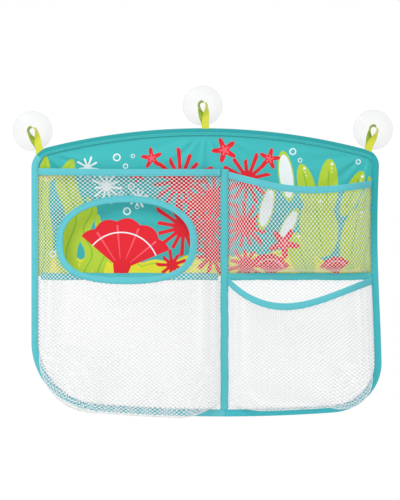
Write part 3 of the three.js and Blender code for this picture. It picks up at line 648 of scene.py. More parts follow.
    def fish(self, x, z, half_length, turn):
        """An elliptic body with a wedge for its tail and two white bars."""
        u, v = self.local((x, z), turn)
        body = (u / half_length) ** 2 + (v / (half_length * FISH_HEIGHT_SHARE)) ** 2
        slope = half_length * FISH_SLOPE_SHARE
        tail = self.inside(abs(v) - (u - half_length * TAIL_START_SHARE) * TAIL_SLOPE_SHARE)
        tail = tail.least(self.inside(u - half_length * TAIL_END_SHARE))
        self.lay(self.colours.print_yellow, self.inside((body - 1) * slope).most(tail))
        bars = self.inside(abs(abs(u) - half_length * BAR_SHARE) - half_length * BAR_WIDTH_SHARE)
        self.lay(self.colours.print_white, bars.least(self.inside((body - BAR_END_SHARE) * slope)))

    def bubble(self, x, z, radius):
        """A white ring with a small glint up on its left."""
        u, v = self.local((x, z))
        ring = abs(self.away(u, v) - radius) - radius * BUBBLE_WALL_SHARE
        self.lay(self.colours.print_white, self.inside(ring))
        glint = self.away(u + radius * GLINT_SHARE, v - radius * GLINT_SHARE)
        self.lay(self.colours.print_white, self.inside(glint - radius * GLINT_SIZE_SHARE))


def print_material(name, colours):
    """Printed polyester: the sea first, then each kind of motif over what came before."""
    made = Print(name, colours)
    made.sea()
    for motif, places in (
        (made.kelp, KELP), (made.leaf, LEAVES), (made.anemone, ANEMONES), (made.oval, OVALS),
        (made.starfish, STARFISH), (made.shell, SHELLS), (made.fish, FISH), (made.bubble, BUBBLES),
    ):
        for values in places:
            motif(*values)
    look = made.look
    look.set("Base Color", made.paint)
    look.set("Roughness", 0.62)
    look.set("Sheen Weight", 0.04)
    look.set("Specular IOR Level", 0.3)
    look.bump(weave(made.x, made.z, CLOTH_PITCH), strength=0.18, distance=0.0003)
    return look.material


# Mesh helpers: whole arrays in millimetres

SWING = 3.0
SWING_TOP, SWING_RUN, SWING_REACH = -62, 368, 243.5
SWING_TURN = 1.7 * math.pi
SWING_LIMIT_SHARE = 1.05
STITCH_SWELL_SHARES = np.array([0.45, 0.95, 1.0, 0.95, 0.45])
STITCH_DIP_SHARES = np.array([-1.3, -0.1, 0.1, -0.1, -1.3])
STITCH_SIDES = 6
OUTWARDS = np.array([0.0, -1.0, 0.0])
IN_WALL = np.array([1.0, 0.0, 1.0])
SHEET_SHARP = 60


def mix(a, b, t):
    """What lies at the share t of the way from a to b."""
    return a + (b - a) * t


def unit(vectors):
    """Vectors scaled to length 1."""
    return vectors / np.maximum(np.linalg.norm(vectors, axis=-1, keepdims=True), 1e-9)


def ease(t):
    """A smooth step from 0 to 1: 3 t squared less 2 t cubed."""
    t = np.clip(t, 0, 1)
    return t * t * (3 - 2 * t)


def waves(table, x, z=0):
    """A sum of sines over flat places. Each row gives a sine's share, its turns along x and along z,
    and its phase."""
    return sum(share * np.sin(x * along + z * up + phase) for share, along, up, phase in table)


def run_along(path):
    """Length of a path up to each of its points."""
    return np.concatenate([[0], np.cumsum(np.linalg.norm(np.diff(path, axis=0), axis=1))])


def grid_quads(rows, columns, wrap_rows=False, wrap_columns=False):
    """Quads between neighbouring points of a grid that is numbered row by row."""
    numbers = np.arange(rows * columns).reshape(rows, columns)
    if wrap_rows:
        numbers = np.vstack([numbers, numbers[:1]])
    if wrap_columns:
        numbers = np.hstack([numbers, numbers[:, :1]])
    corners = (numbers[:-1, :-1], numbers[:-1, 1:], numbers[1:, 1:], numbers[1:, :-1])
    return np.stack([c.ravel() for c in corners], axis=1)


def swung(points):
    """The panel's right side hangs a little out of line, in above and out below: a share of a sine
    down the side that grows as the square of the way from the middle. Nothing above the first height
    or left of it moves."""
    down = np.clip((SWING_TOP - points[:, 2]) / SWING_RUN, 0, 1)
    across = np.clip(points[:, 0] / SWING_REACH, 0, SWING_LIMIT_SHARE)
    moved = points.copy()
    moved[:, 0] -= SWING * across ** 2 * np.sin(down * SWING_TURN)
    return moved


def make_object(name, points, faces, materials, cloth=None, face_material=None, sharp=None):
    """A mesh object from an array of points in millimetres and lists of faces, with smooth shading.
    cloth gives each point's place along and across its cloth."""
    points = swung(points)
    mesh = bpy.data.meshes.new(name)
    blocks = [np.asarray(block, dtype=np.int32) for block in faces]
    corners = np.concatenate([block.ravel() for block in blocks])
    sizes = np.concatenate([np.full(len(block), block.shape[1]) for block in blocks])
    mesh.vertices.add(len(points))
    mesh.vertices.foreach_set("co", (points * MM).astype(np.float32).ravel())
    mesh.loops.add(len(corners))
    mesh.loops.foreach_set("vertex_index", corners)
    mesh.polygons.add(len(sizes))
    mesh.polygons.foreach_set("loop_start", np.concatenate([[0], np.cumsum(sizes)[:-1]]).astype(np.int32))
    mesh.update(calc_edges=True)
    mesh.polygons.foreach_set("use_smooth", np.ones(len(mesh.polygons), dtype=bool))
    if cloth is not None:
        values = np.zeros((len(points), 3), dtype=np.float32)
        values[:, : cloth.shape[1]] = cloth * MM
        mesh.attributes.new("cloth", "FLOAT_VECTOR", "POINT").data.foreach_set("vector", values.ravel())
    for material in materials:
        mesh.materials.append(material)
    if face_material is not None:
        mesh.polygons.foreach_set("material_index", face_material.astype(np.int32))
    if sharp is not None:
        mesh.set_sharp_from_angle(angle=math.radians(sharp))
    mesh.validate()
    mesh.update()
    piece = bpy.data.objects.new(name, mesh)
    bpy.context.scene.collection.objects.link(piece)
    return piece


def grid_normals(grid):
    """Unit normals of a grid, from the cross product of its central differences."""
    return unit(np.cross(np.gradient(grid, axis=0), np.gradient(grid, axis=1)))


def closed_sheet(grid, thickness, flip=False):
    """A grid given a thickness on both sides of its surface and closed round its rim.
    Returns points, faces and which faces belong to the far side."""
    rows, columns = grid.shape[:2]
    normals = grid_normals(grid) * (-1 if flip else 1)
    near = (grid + normals * thickness / 2).reshape(-1, 3)
    far = (grid - normals * thickness / 2).reshape(-1, 3)
    quads = grid_quads(rows, columns)
    count = rows * columns
    numbers = np.arange(count).reshape(rows, columns)
    rim = np.concatenate([numbers[0, :-1], numbers[:-1, -1], numbers[-1, :0:-1], numbers[:0:-1, 0]])
    ahead = np.roll(rim, -1)
    sides = np.stack([rim, rim + count, ahead + count, ahead], axis=1)
    faces = [quads, quads[:, ::-1] + count, sides]
    if flip:
        faces = [block[:, ::-1] for block in faces]
    which = np.concatenate([np.zeros(len(quads)), np.ones(len(quads)), np.ones(len(sides))])
    return np.vstack([near, far]), faces, which


def tube(sections, closed):
    """Closed sections, one for each station, joined to a skin. An open run gets flat ends."""
    stations, count = sections.shape[:2]
    faces = [grid_quads(stations, count, wrap_rows=closed, wrap_columns=True)]
    if not closed:
        faces.append(np.arange(count)[None, ::-1])
        faces.append(np.arange(count)[None, :] + (stations - 1) * count)
    return sections.reshape(-1, 3), faces


def facing_out(points, faces):
    """Turns all faces over if the solid's signed volume is negative."""
    volume = 0.0
    for block in faces:
        block = np.asarray(block)
        first = points[block[:, 0]]
        for k in range(1, block.shape[1] - 1):
            second, third = points[block[:, k]], points[block[:, k + 1]]
            volume += np.einsum("ij,ij->i", first, np.cross(second, third)).sum()
    return [np.asarray(block)[:, ::-1] for block in faces] if volume < 0 else faces


def stitches(path, along, up, sizes):
    """Stitches along a path: each is a short thread whose ends dip into the cloth.
    path holds points, along and up hold unit vectors. Returns points, faces and cloth places."""
    pitch, reach, radius = sizes.stitch_pitch / MM, sizes.stitch_length / MM, sizes.stitch_radius / MM
    run = run_along(path)
    count = max(1, int(run[-1] / pitch))
    centres = (np.arange(count) + 0.5) * run[-1] / count

    def at(values):
        """The path's values at the middle of each stitch."""
        return np.stack([np.interp(centres, run, values[:, k]) for k in range(3)], axis=1)

    centre, forward, rise = at(path), unit(at(along)), unit(at(up))
    sideways = np.cross(forward, rise)
    rings = len(STITCH_SWELL_SHARES)
    swell = STITCH_SWELL_SHARES * radius
    dip = STITCH_DIP_SHARES * radius
    angles = np.arange(STITCH_SIDES) / STITCH_SIDES * FULL_TURN
    ring = (np.linspace(-0.5, 0.5, rings) * reach)[:, None] + 0 * angles
    out = swell[:, None] * np.cos(angles)
    high = swell[:, None] * np.sin(angles) + dip[:, None]
    grid = (
        centre[:, None, None]
        + forward[:, None, None] * ring[None, :, :, None]
        + sideways[:, None, None] * out[None, :, :, None]
        + rise[:, None, None] * high[None, :, :, None]
    )
    one = grid_quads(rings, STITCH_SIDES, wrap_columns=True)
    sides = np.arange(STITCH_SIDES)
    ends = np.stack([sides[::-1], sides + (rings - 1) * STITCH_SIDES])
    shift = (np.arange(count) * rings * STITCH_SIDES)[:, None, None]
    faces = [(one[None] + shift).reshape(-1, 4), (ends[None] + shift).reshape(-1, STITCH_SIDES)]
    cloth = np.zeros((count, rings, STITCH_SIDES, 2))
    cloth[..., 0] = ring
    cloth[..., 1] = out
    return grid.reshape(-1, 3), faces, cloth.reshape(-1, 2)


def joined(parts):
    """Several sets of points, faces and cloth places as one."""
    points, faces, cloth, start = [], [], [], 0
    for part_points, part_faces, part_cloth in parts:
        points.append(part_points)
        faces.extend(np.asarray(block) + start for block in part_faces)
        cloth.append(part_cloth)
        start += len(part_points)
    return np.vstack(points), faces, np.vstack(cloth)


# The panel's outline

LEFT_JOIN, RIGHT_JOIN = math.radians(140), math.radians(45)


class Outline:
    """The arched top, straight sides, bowed bottom and four round corners, in millimetres."""

    def __init__(self, sizes):
        def size(name):
            """One of the panel's sizes in millimetres."""
            return getattr(sizes, name) / MM

        self.left, self.right = size("left"), size("right")
        self.crown, self.bottom = size("crown"), size("crown") - size("height")
        self.seam = self.crown - size("seam_drop")
        self.arch = np.array([0, self.crown - size("top_radius")])
        self.bow = np.array([size("bottom_middle"), self.bottom + size("bottom_radius")])
        self.top_radius, self.bottom_radius = size("top_radius"), size("bottom_radius")
        self.corners = {
            "top_left": self.corner(-self.left, 1, size("top_left"), True),
            "top_right": self.corner(self.right, -1, size("top_right"), True),
            "bottom_left": self.corner(-self.left, 1, size("bottom_left"), False),
            "bottom_right": self.corner(self.right, -1, size("bottom_right"), False),
        }

    def corner(self, side, towards, radius, upper):
        """Centre and radius of a corner circle that touches a side and a big arc from inside."""
        big, reach = (self.arch, self.top_radius) if upper else (self.bow, self.bottom_radius)
        x = side + towards * radius
        rise = math.sqrt((reach - radius) ** 2 - (x - big[0]) ** 2)
        return np.array([x, big[1] + rise if upper else big[1] - rise]), radius

    def arc(self, centre, radius, start, end, step):
        """Points on an arc from one angle to another, and the unit vectors that point inwards."""
        count = max(2, int(abs(end - start) * radius / step) + 1)
        angle = np.linspace(start, end, count)
        out = np.stack([np.cos(angle), np.sin(angle)], axis=1)
        return centre + radius * out, -out

    def line(self, start, end, inwards, step):
        """Points on a straight side."""
        count = max(2, int(np.linalg.norm(end - start) / step) + 1)
        points = mix(start, end, np.linspace(0, 1, count)[:, None])
        return points, np.repeat(np.array([inwards], float), count, axis=0)

    def chain(self, runs):
        """Runs of points joined end to end, without doubling their meeting points."""
        points = np.vstack([runs[0][0]] + [run[0][1:] for run in runs[1:]])
        inwards = np.vstack([runs[0][1]] + [run[1][1:] for run in runs[1:]])
        return points, inwards

    def angle(self, centre, to):
        """The direction from one point to another."""
        return math.atan2(to[1] - centre[1], to[0] - centre[0])

    def top(self, step):
        """The top edge from the left join to the right join, each half way round its corner."""
        (a, ra), (b, rb) = self.corners["top_left"], self.corners["top_right"]
        left, right = self.angle(self.arch, a), self.angle(self.arch, b)
        return self.chain([
            self.arc(a, ra, LEFT_JOIN, left, step),
            self.arc(self.arch, self.top_radius, left, right, step),
            self.arc(b, rb, right, RIGHT_JOIN, step),
        ])

    def side(self, name, step):
        """One side, from its join with the top tape down and round to the middle of the bottom."""
        (a, ra), (b, rb) = self.corners["top_" + name], self.corners["bottom_" + name]
        low = self.angle(self.bow, b)
        if name == "left":
            low += FULL_TURN
            join, flank, foot, sign = LEFT_JOIN, math.pi, 1.5 * math.pi, -1
        else:
            join, flank, foot, sign = RIGHT_JOIN, 0, -0.5 * math.pi, 1
        return self.chain([
            self.arc(a, ra, join, flank, step),
            self.line(a + [sign * ra, 0], b + [sign * rb, 0], (-sign, 0), step),
            self.arc(b, rb, flank, low, step),
            self.arc(self.bow, self.bottom_radius, low, foot, step),
        ])

    def top_height(self, x, inset=0):
        """Height of the top edge at each x: the big arc between the corners, else the corner's arc."""
        big = self.arch[1] + np.sqrt((self.top_radius - inset) ** 2 - (x - self.arch[0]) ** 2)
        for name, sign in (("top_left", -1), ("top_right", 1)):
            centre, radius = self.corners[name]
            reach = np.maximum((radius - inset) ** 2 - (x - centre[0]) ** 2, 0)
            big = np.where(sign * (x - centre[0]) > 0, centre[1] + np.sqrt(reach), big)
        return big

    def bottom_height(self, x, inset=0):
        """Height of the bottom edge at each x, on the big arc."""
        return self.bow[1] - np.sqrt((self.bottom_radius - inset) ** 2 - (x - self.bow[0]) ** 2)

    def depth_inside(self, side, x, z):
        """How far a point of the lower half lies inside the outline on one side."""
        centre, radius = self.corners["bottom_" + side]
        out = -1 if side == "left" else 1
        reach = self.left if side == "left" else self.right
        from_side = reach - out * x
        beyond = out * (x - centre[0])
        round_corner = radius - np.hypot(np.maximum(beyond, 0), centre[1] - z)
        plain = np.minimum(from_side, z - self.bottom_height(x))
        return np.where((beyond > 0) & (z < centre[1]), round_corner, plain)

    def depth(self, x, z):
        """How far a point of the lower half lies inside the outline on both sides."""
        return np.minimum(self.depth_inside("left", x, z), self.depth_inside("right", x, z))


# Pockets: the net's surface as a function of a flat place on the panel

POCKETS = {
    # Lengths in millimetres. mouth holds the heights below the crown at its left and right ends, then its
    # sag, its skew and its slackness.
    "left": {
        "side": "left", "corner": True, "upright": False, "mouth": (55.6, 56.6, 1.0, 1.0, 1.0),
        "mouth_depth": 11, "belly_depth": 46, "belly_share": 0.22, "run": 60,
        "droop": 26, "corner_droop": 3,
    },
    "upper_right": {
        "side": "right", "corner": False, "upright": True, "mouth": (60.2, 72.4, 14.7, 1.0, 1.0),
        "mouth_depth": 30, "belly_depth": 34, "belly_share": 0.30, "run": 45,
        "droop": 6, "corner_droop": 0,
    },
    "lower_right": {
        "side": "right", "corner": True, "upright": False, "mouth": (205, 206, 35, 0.72, 1.2),
        "mouth_depth": 38, "belly_depth": 44, "belly_share": 0.30, "run": 50,
        "droop": 15, "corner_droop": 11,
    },
}
ROUNDNESS = 2.2
DROOP_REACH = 16
HEM_MARGIN = 1.2
HEM_LEVEL = -15.0
DENT_WAVES = ((1.0, 0.071, 0.043, 0), (0.7, 0.037, -0.092, 1.7))
DENT_FOLD_SHARE, DENT_FOLD_TURN = 0.5, 0.13
DENT_BEND, DENT_BEND_TURN = 0.8, 0.05
DENT_SHARE = 0.6
MOUTH_CALM, MOUTH_CALM_RUN = 12, 30
WINDOW_CALM, WINDOW_CALM_RUN = 4, 25
CLOTH_STATIONS_ACROSS, CLOTH_STATIONS_UP = 400, 500
CLOTH_TOP_DROP = 40
CLOTH_HEIGHT_SHARE = 0.25
HOLE_TIP_SHARE, HOLE_SIDE_SHARE = 0.86, 1.10
NORMAL_STEP = 0.5
LEAST_YARN_SHARE = 0.31


class Pocket:
    """A net pocket. Its surface is a bulge out of the panel that grows from each sewn edge."""

    def __init__(self, name, outline, tape):
        self.name = name
        self.outline = outline
        self.facts = POCKETS[name]
        self.out = -1 if self.facts["side"] == "left" else 1
        self.tape_width = tape.width / MM
        self.centre_half = tape.centre_width / MM / 2
        self.inner = tape.centre_x / MM
        self.outer = self.out * (outline.left if self.out < 0 else outline.right)

    def mouth(self, x):
        """Height of the mouth: a chord less the sag times a power of a skewed half sine."""
        left, right, sag, skew, slackness = self.facts["mouth"]
        ends = sorted((self.inner + self.out * self.centre_half, self.outer - self.out * self.tape_width))
        t = np.clip((x - ends[0]) / (ends[1] - ends[0]), 0, 1)
        hang = np.maximum(0, np.sin(math.pi * t ** skew)) ** slackness
        return self.outline.crown - mix(left, right, t) - sag * hang

    def edge(self, x, z):
        """How far a point lies inside the sewn outer edge, and that edge's angle down from the side."""
        inset = self.tape_width + HEM_MARGIN
        from_side = self.out * (self.outer - x) - inset
        if not self.facts["corner"]:
            return from_side, np.full_like(x, math.pi / 2)
        centre, radius = self.outline.corners["bottom_" + self.facts["side"]]
        beyond = self.out * (x - centre[0])
        reach = np.hypot(np.maximum(beyond, 0), centre[1] - z)
        round_corner = radius - inset - reach
        from_bottom = z - self.outline.bottom_height(x, inset)
        in_corner = (beyond > 0) & (z < centre[1])
        distance = np.where(in_corner, round_corner, np.minimum(from_side, from_bottom))
        fall = np.where((beyond <= 0) & (from_bottom < from_side), math.pi / 2, 0.0)
        fall = np.where(in_corner, np.arctan2(centre[1] - z, np.maximum(beyond, 1e-6)), fall)
        return np.where((beyond > 0) & ~in_corner, from_side, distance), fall

    def filled(self, distance):
        """A wall that leaves its seam steeply and rounds off into the front."""
        return 1 - (1 - np.clip(distance / self.facts["run"], 0, 1)) ** ROUNDNESS

    def surface(self, x, z, waviness=0):
        """Points of the net over flat places x and z, as an array of X, Y and Z. The droop carries the
        net outwards over its lower seam: it grows as the square of the distance from the seam and dies
        away again."""
        facts = self.facts
        distance, fall = self.edge(x, z)
        from_tape = self.out * (x - self.inner) - self.centre_half - HEM_MARGIN
        lower = self.outline.bottom_height(x) if facts["corner"] else self.outline.seam
        from_seam = z - self.outline.seam - self.tape_width / 2 - HEM_MARGIN
        height = np.clip((z - lower) / (self.mouth(x) - lower), 0, 1)
        rise = np.clip((height - facts["belly_share"]) / (1 - facts["belly_share"]), 0, 1)
        depth = mix(facts["belly_depth"], facts["mouth_depth"], ease(rise))
        wall = self.filled(distance) * self.filled(from_tape)
        low = 1 if facts["corner"] else self.filled(from_seam)
        droop_at = np.maximum(0, distance if facts["corner"] else from_seam) / DROOP_REACH
        reach = (facts["droop"] + facts["corner_droop"] * np.sin(2 * fall)) * np.sqrt(np.sin(fall))
        droop = reach * droop_at ** 2 * np.exp(2 * (1 - droop_at)) * self.filled(from_tape)
        bulge = depth * wall * low + waviness * self.dents(x, z) * wall * wall * low
        return np.stack([
            x + self.out * droop * np.cos(fall),
            HEM_LEVEL - np.maximum(bulge, 0),
            z - droop * np.sin(fall),
        ], axis=-1)

    def dents(self, x, z):
        """Soft dents of a net that hangs nearly empty, calm beside the mouth and the window."""
        bent = x * DENT_FOLD_TURN + DENT_BEND * np.sin(z * DENT_BEND_TURN)
        dents = waves(DENT_WAVES, x, z) + DENT_FOLD_SHARE * np.sin(bent)
        calm = ease((self.mouth(x) - z - MOUTH_CALM) / MOUTH_CALM_RUN)
        if self.name == "left":
            calm = calm * ease((window_distance(self.outline, x, z) - WINDOW_CALM) / WINDOW_CALM_RUN)
        return dents * calm * DENT_SHARE

    def fabric_axes(self):
        """Tables that turn lengths of cloth into flat places: along x at the belly, and along z in the
        middle."""
        facts = self.facts
        lower = self.outline.bottom if facts["corner"] else self.outline.seam
        middle = (self.inner + self.outer) / 2
        top = self.mouth(np.array([middle]))[0]
        belly = mix(lower, top, facts["belly_share"] + CLOTH_HEIGHT_SHARE)
        x = np.linspace(min(self.inner, self.outer), max(self.inner, self.outer), CLOTH_STATIONS_ACROSS)
        z = np.linspace(lower, self.outline.crown - CLOTH_TOP_DROP, CLOTH_STATIONS_UP)
        across = run_along(self.surface(x, np.full_like(x, belly)))
        upright = run_along(self.surface(np.full_like(z, middle), z))
        return (across, x), (upright, z)


def diamond_net(keep, warp, low, high, sizes, upright=False):
    """A net of diamonds. Each diamond is a frame of two ridges, front and back, round a rounded hole,
    so that a strand is a thin lens in section. keep says which centres stay and warp turns flat places
    into points. The diamonds lie on their sides, or stand upright where the net was cut the other way
    of the cloth. Their eight outer points are numbered in quarters of a diamond, so that neighbours
    share them.
    Returns points, faces, the yarn's flat area and the size of the cut."""
    pitches = (sizes.short_pitch, sizes.long_pitch) if upright else (sizes.long_pitch, sizes.short_pitch)
    pitch = np.array(pitches) / MM
    start = np.array(low)
    columns = np.arange(int((high[0] - low[0]) / pitch[0]) + 2)
    rows = np.arange(int((high[1] - low[1]) / pitch[1] * 2) + 2)
    column, row = [grid.ravel() for grid in np.meshgrid(columns, rows)]
    place = np.stack([column * 2 + row % 2, row], axis=1)
    centre = start + place * pitch / 2
    kept = keep(centre[:, 0], centre[:, 1])
    place, centre = place[kept], centre[kept]
    outer = np.array([[2, 0], [1, 1], [0, 2], [-1, 1], [-2, 0], [-1, -1], [0, -2], [1, -1]])
    half = pitch / 2
    apart = 2 * half[0] * half[1] / np.hypot(*half)
    hole = outer / 2 * half * (1 - sizes.strand / MM / apart)
    hole[::2] *= HOLE_TIP_SHARE
    hole[1::2] *= HOLE_SIDE_SHARE
    count = len(centre)
    keys = (2 * place[:, None] + outer).reshape(-1, 2)
    unique, number = np.unique(keys, axis=0, return_inverse=True)
    number = number.reshape(count, len(outer))
    ridge_flat = start + unique * pitch / 4
    hole_flat = (centre[:, None] + hole[None]).reshape(-1, 2)
    reach = sizes.thickness / MM / 2

    def lifted(flat, height):
        """Points of the surface moved along its normal."""
        here = warp(flat[:, 0], flat[:, 1])
        along = warp(flat[:, 0] + NORMAL_STEP, flat[:, 1]) - here
        up = warp(flat[:, 0], flat[:, 1] + NORMAL_STEP) - here
        return here + unit(np.cross(along, up)) * height

    ridges = len(unique)
    points = np.vstack([lifted(ridge_flat, reach), lifted(ridge_flat, -reach), lifted(hole_flat, 0)])
    hole_number = (np.arange(number.size) + 2 * ridges).reshape(number.shape)
    ahead, hole_ahead = np.roll(number, -1, axis=1), np.roll(hole_number, -1, axis=1)
    front = np.stack([number, ahead, hole_ahead, hole_number], axis=-1).reshape(-1, 4)
    back = np.stack([ahead + ridges, number + ridges, hole_number, hole_ahead], axis=-1).reshape(-1, 4)
    edges = np.stack([number.ravel(), ahead.ravel()], axis=1)
    first, times = np.unique(np.sort(edges, axis=1), axis=0, return_index=True, return_counts=True)[1:]
    rim = edges[first[times == 1]]
    rim_faces = np.stack([rim[:, 1], rim[:, 0], rim[:, 0] + ridges, rim[:, 1] + ridges], axis=1)
    area = count * (2 * half[0] * half[1] - polygon_area(hole)) * MM * MM
    cut = tuple(np.ptp(ridge_flat, axis=0) * MM)
    return points, [front, back, rim_faces], area, cut


def polygon_area(corners):
    """Area of a flat polygon, by the shoelace sum."""
    x, y = corners[:, 0], corners[:, 1]
    return abs(np.sum(x * np.roll(y, -1) - y * np.roll(x, -1))) / 2


def declared(area, cut):
    """A net's flat area, which is the yarn's own, but no less of the cut's rectangle than a sheet may
    have."""
    return max(area, LEAST_YARN_SHARE * cut[0] * cut[1])


# Tapes: folded over an edge, and sewn down with two lines of stitches

FOLD_STATIONS, FLAP_STATIONS = 7, 4
FOLD_SHARP = 50
RIPPLE_WAVES = ((1.0, 0.55, 0, 0), (0.7, 0.23, 0, 2), (0.5, 1.3, 0, 1))
RIPPLE_SHARE = 0.5
RIPPLE_FADE = 15


def fold_section(width, gap, thickness):
    """A tape folded over an edge, seen end on: a U with a round fold. The first number is how far past
    the edge a point lies, the second how far to the front."""
    outer, inner = gap + thickness, gap
    angle = np.linspace(-math.pi / 2, math.pi / 2, FOLD_STATIONS)
    fold = np.stack([np.cos(angle), np.sin(angle)], axis=1)
    inwards = np.linspace(outer - width, 0, FLAP_STATIONS + 1)[:-1]

    def flap(places, level):
        """One face of a flap, which lies flat at its level."""
        return np.stack([places, np.full(FLAP_STATIONS, level)], axis=1)

    return np.vstack([
        flap(inwards, -outer), fold * outer, flap(inwards[::-1], outer),
        flap(inwards, inner), fold[::-1] * inner, flap(inwards[::-1], -inner),
    ])


def folded_tape(edge, past, front, width, gap, sizes, closed=False):
    """Folded tape along a line. edge holds points, past and front hold unit vectors at right angles.
    Small ripples follow the run, as sewing leaves them. Returns points, faces and cloth places."""
    section = fold_section(width, gap, sizes.thickness / MM)
    run = run_along(edge)
    wave = waves(RIPPLE_WAVES, run)
    if closed:
        wave = wave * np.clip(np.minimum(run, run[-1] - run) / RIPPLE_FADE, 0, 1)
    lift = wave[:, None] * sizes.ripple / MM * RIPPLE_SHARE
    inner = np.clip(-section[:, 0] / width, 0, 1)[None] * lift
    sections = (
        edge[:, None]
        + past[:, None] * section[None, :, 0, None]
        + front[:, None] * (section[None, :, 1, None] + inner[..., None])
    )
    points, faces = tube(sections, closed)
    cloth = np.stack([np.repeat(run, len(section)), np.tile(section[:, 0], len(edge))], axis=1)
    return points, facing_out(points, faces), cloth


def tape_with_stitches(name, edge, past, front, width, gap, sizes, looks, closed=False):
    """A folded tape and its lines of stitches as one piece. The looks are the cloth's and the
    thread's."""
    tape = folded_tape(edge, past, front, width, gap, sizes, closed)
    reach = gap + sizes.thickness / MM
    inset = width - reach - sizes.stitch_inset / MM
    path = edge - past * inset + front * reach
    along = unit(np.gradient(path, axis=0))
    sewn = stitches(path, along, front, sizes)
    behind = stitches(edge - past * inset - front * reach, along, -front, sizes)
    points, faces, cloth = joined([tape, sewn, behind])
    which = thread_faces(tape[1], faces)
    return make_object(name, points, faces, looks, cloth, which, sharp=FOLD_SHARP)


def thread_faces(tape, faces):
    """1 for each face that comes after the tape's own, and 0 for those."""
    own, total = [sum(len(block) for block in blocks) for blocks in (tape, faces)]
    return (np.arange(total) >= own).astype(int)


def dress(piece, slot, *nodes, body=FABRIC_BODY):
    """A piece takes its nodes' place and their body. Its slot is not used."""
    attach(piece, body)
    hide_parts(*nodes)
    return piece


LOOKS = {}
THREAD_SHADE_SHARE = 0.7


def made_once(name, maker, *values):
    """A material by name, made when it is first asked for."""
    if name not in LOOKS:
        LOOKS[name] = maker(name, *values)
    return LOOKS[name]


def panel_outline():
    """The panel's outline, as the scene's settings give it."""
    return Outline(bpy.context.scene.organizer_panel)


def tape_look(kind):
    """The cloth and the thread of one kind of tape. The dark tape's inner edge takes the print's
    ground, and the right side's tape takes darker tints of painted shade, darker still higher up."""
    colours = bpy.context.scene.organizer_colours
    tints = {
        "turquoise": colours.tape, "deep": colours.deep_tape,
        "dark": colours.dark_tape, "side": colours.side_tape,
    }
    tint = tuple(tints[kind])
    inner = tuple(colours.ground) if kind == "dark" else None
    upper = tuple(colours.upper_side_tape) if kind == "side" else None
    return (
        made_once(kind + "_tape", tape_material, tint, inner, upper),
        made_once(kind + "_thread", thread_material, shaded(tint, THREAD_SHADE_SHARE)),
    )


def net_look():
    """The yarn that all four nets are knitted from."""
    return made_once("net_yarn", net_material, tuple(bpy.context.scene.organizer_colours.net))


PRINT_INSET = 1.0
PRINT_SEAM_GAP = 0.15
PRINT_COLUMNS, PRINT_ROWS = 260, 150
PRINT_CROWDING_SHARE = 0.5
EDGE_CALM, EDGE_CALM_RUN = 9, 14
SEAM_CALM, SEAM_CALM_RUN = 8, 14
CENTRE_CALM, CENTRE_CALM_RUN = 7, 10
CENTRE_TAPE_TOP = -92
WRINKLE_WAVES = ((0.5, 0.045, 0.02, 0), (0.35, 0.021, -0.05, 2))
WRINKLE_ROOTS = (
    # x, z, folds in a radian
    (-222, -60, 13), (4, -32, 15), (230, -62, 13),
)
FAN_WAVES = ((1.0, 1.0, 0, 0), (0.5, 1.7, 0, 1))
FAN_FADE, FAN_START = 62, 30


class ORGANIZER_OT_print(bpy.types.Operator):
    """The printed upper half of the back panel, with soft wrinkles that spread from the hanging loops."""

    bl_idname = "organizer.print_panel"
    bl_label = "Printed panel"

    def execute(self, context):
        scene, outline = context.scene, panel_outline()
        sizes, colours, tape = scene.organizer_panel, scene.organizer_colours, scene.organizer_tape
        thickness = sizes.cloth / MM
        t = np.linspace(0, 1, PRINT_COLUMNS)
        t = mix(t, (1 - np.cos(math.pi * t)) / 2, PRINT_CROWDING_SHARE)
        x = mix(-outline.left + PRINT_INSET, outline.right - PRINT_INSET, t)[:, None]
        low = outline.seam + PRINT_SEAM_GAP
        high = outline.top_height(x, PRINT_INSET)
        z = mix(low, high, np.linspace(0, 1, PRINT_ROWS)[None])
        x = np.broadcast_to(x, z.shape)
        lift = self.wrinkles(x, z) * self.freedom(x, z, low, high, outline, tape.centre_x / MM)
        y = sizes.back / MM - thickness / 2 + lift * sizes.wrinkle / MM
        points, faces, far = closed_sheet(np.stack([x, y, z], axis=-1), thickness, flip=True)
        if points[0, 1] > points[len(points) // 2, 1]:
            far = 1 - far
        looks = [
            made_once("printed_cloth", print_material, colours),
            made_once("cloth_reverse", reverse_material, tuple(colours.reverse)),
        ]
        piece = make_object("printed_back_panel", points, facing_out(points, faces), looks, None, far)
        dress(piece, "printed_polyester", "back_panel_print")
        area = np.trapz(high[:, 0] - low, x[:, 0]) * MM * MM
        flat = ((outline.left + outline.right) * MM, (outline.crown - low) * MM)
        return {"FINISHED"}

    def wrinkles(self, x, z):
        """Long soft waves, and folds that fan out below each root and die away from it."""
        height = waves(WRINKLE_WAVES, x, z)
        for root_x, root_z, folds in WRINKLE_ROOTS:
            angle = np.arctan2(x - root_x, root_z - z)
            away = np.hypot(x - root_x, z - root_z)
            fan = waves(FAN_WAVES, angle * folds) * np.exp(-away / FAN_FADE)
            height = height + fan * ease(away / FAN_START)
        return height

    def freedom(self, x, z, low, high, outline, centre):
        """1 where the cloth is free to wrinkle, and 0 where it is sewn: at its edge, its seam and the
        centre tape."""
        edge = np.minimum(np.minimum(x + outline.left, outline.right - x), high - z)
        at_edge = ease((edge - EDGE_CALM) / EDGE_CALM_RUN)
        at_seam = ease((z - low - SEAM_CALM) / SEAM_CALM_RUN)
        at_centre = ease((abs(x - centre) - CENTRE_CALM) / CENTRE_CALM_RUN + (z > CENTRE_TAPE_TOP))
        return at_edge * at_seam * at_centre


BACK_NET_UNDER_TAPE = 5
BACK_NET_GAP = 0.6
BACK_SWAY_WAVES = ((0.25, 0.05, 0, 0), (0.2, 0.02, 0.07, 0))
BACK_CALM, BACK_CALM_RUN = 10, 20


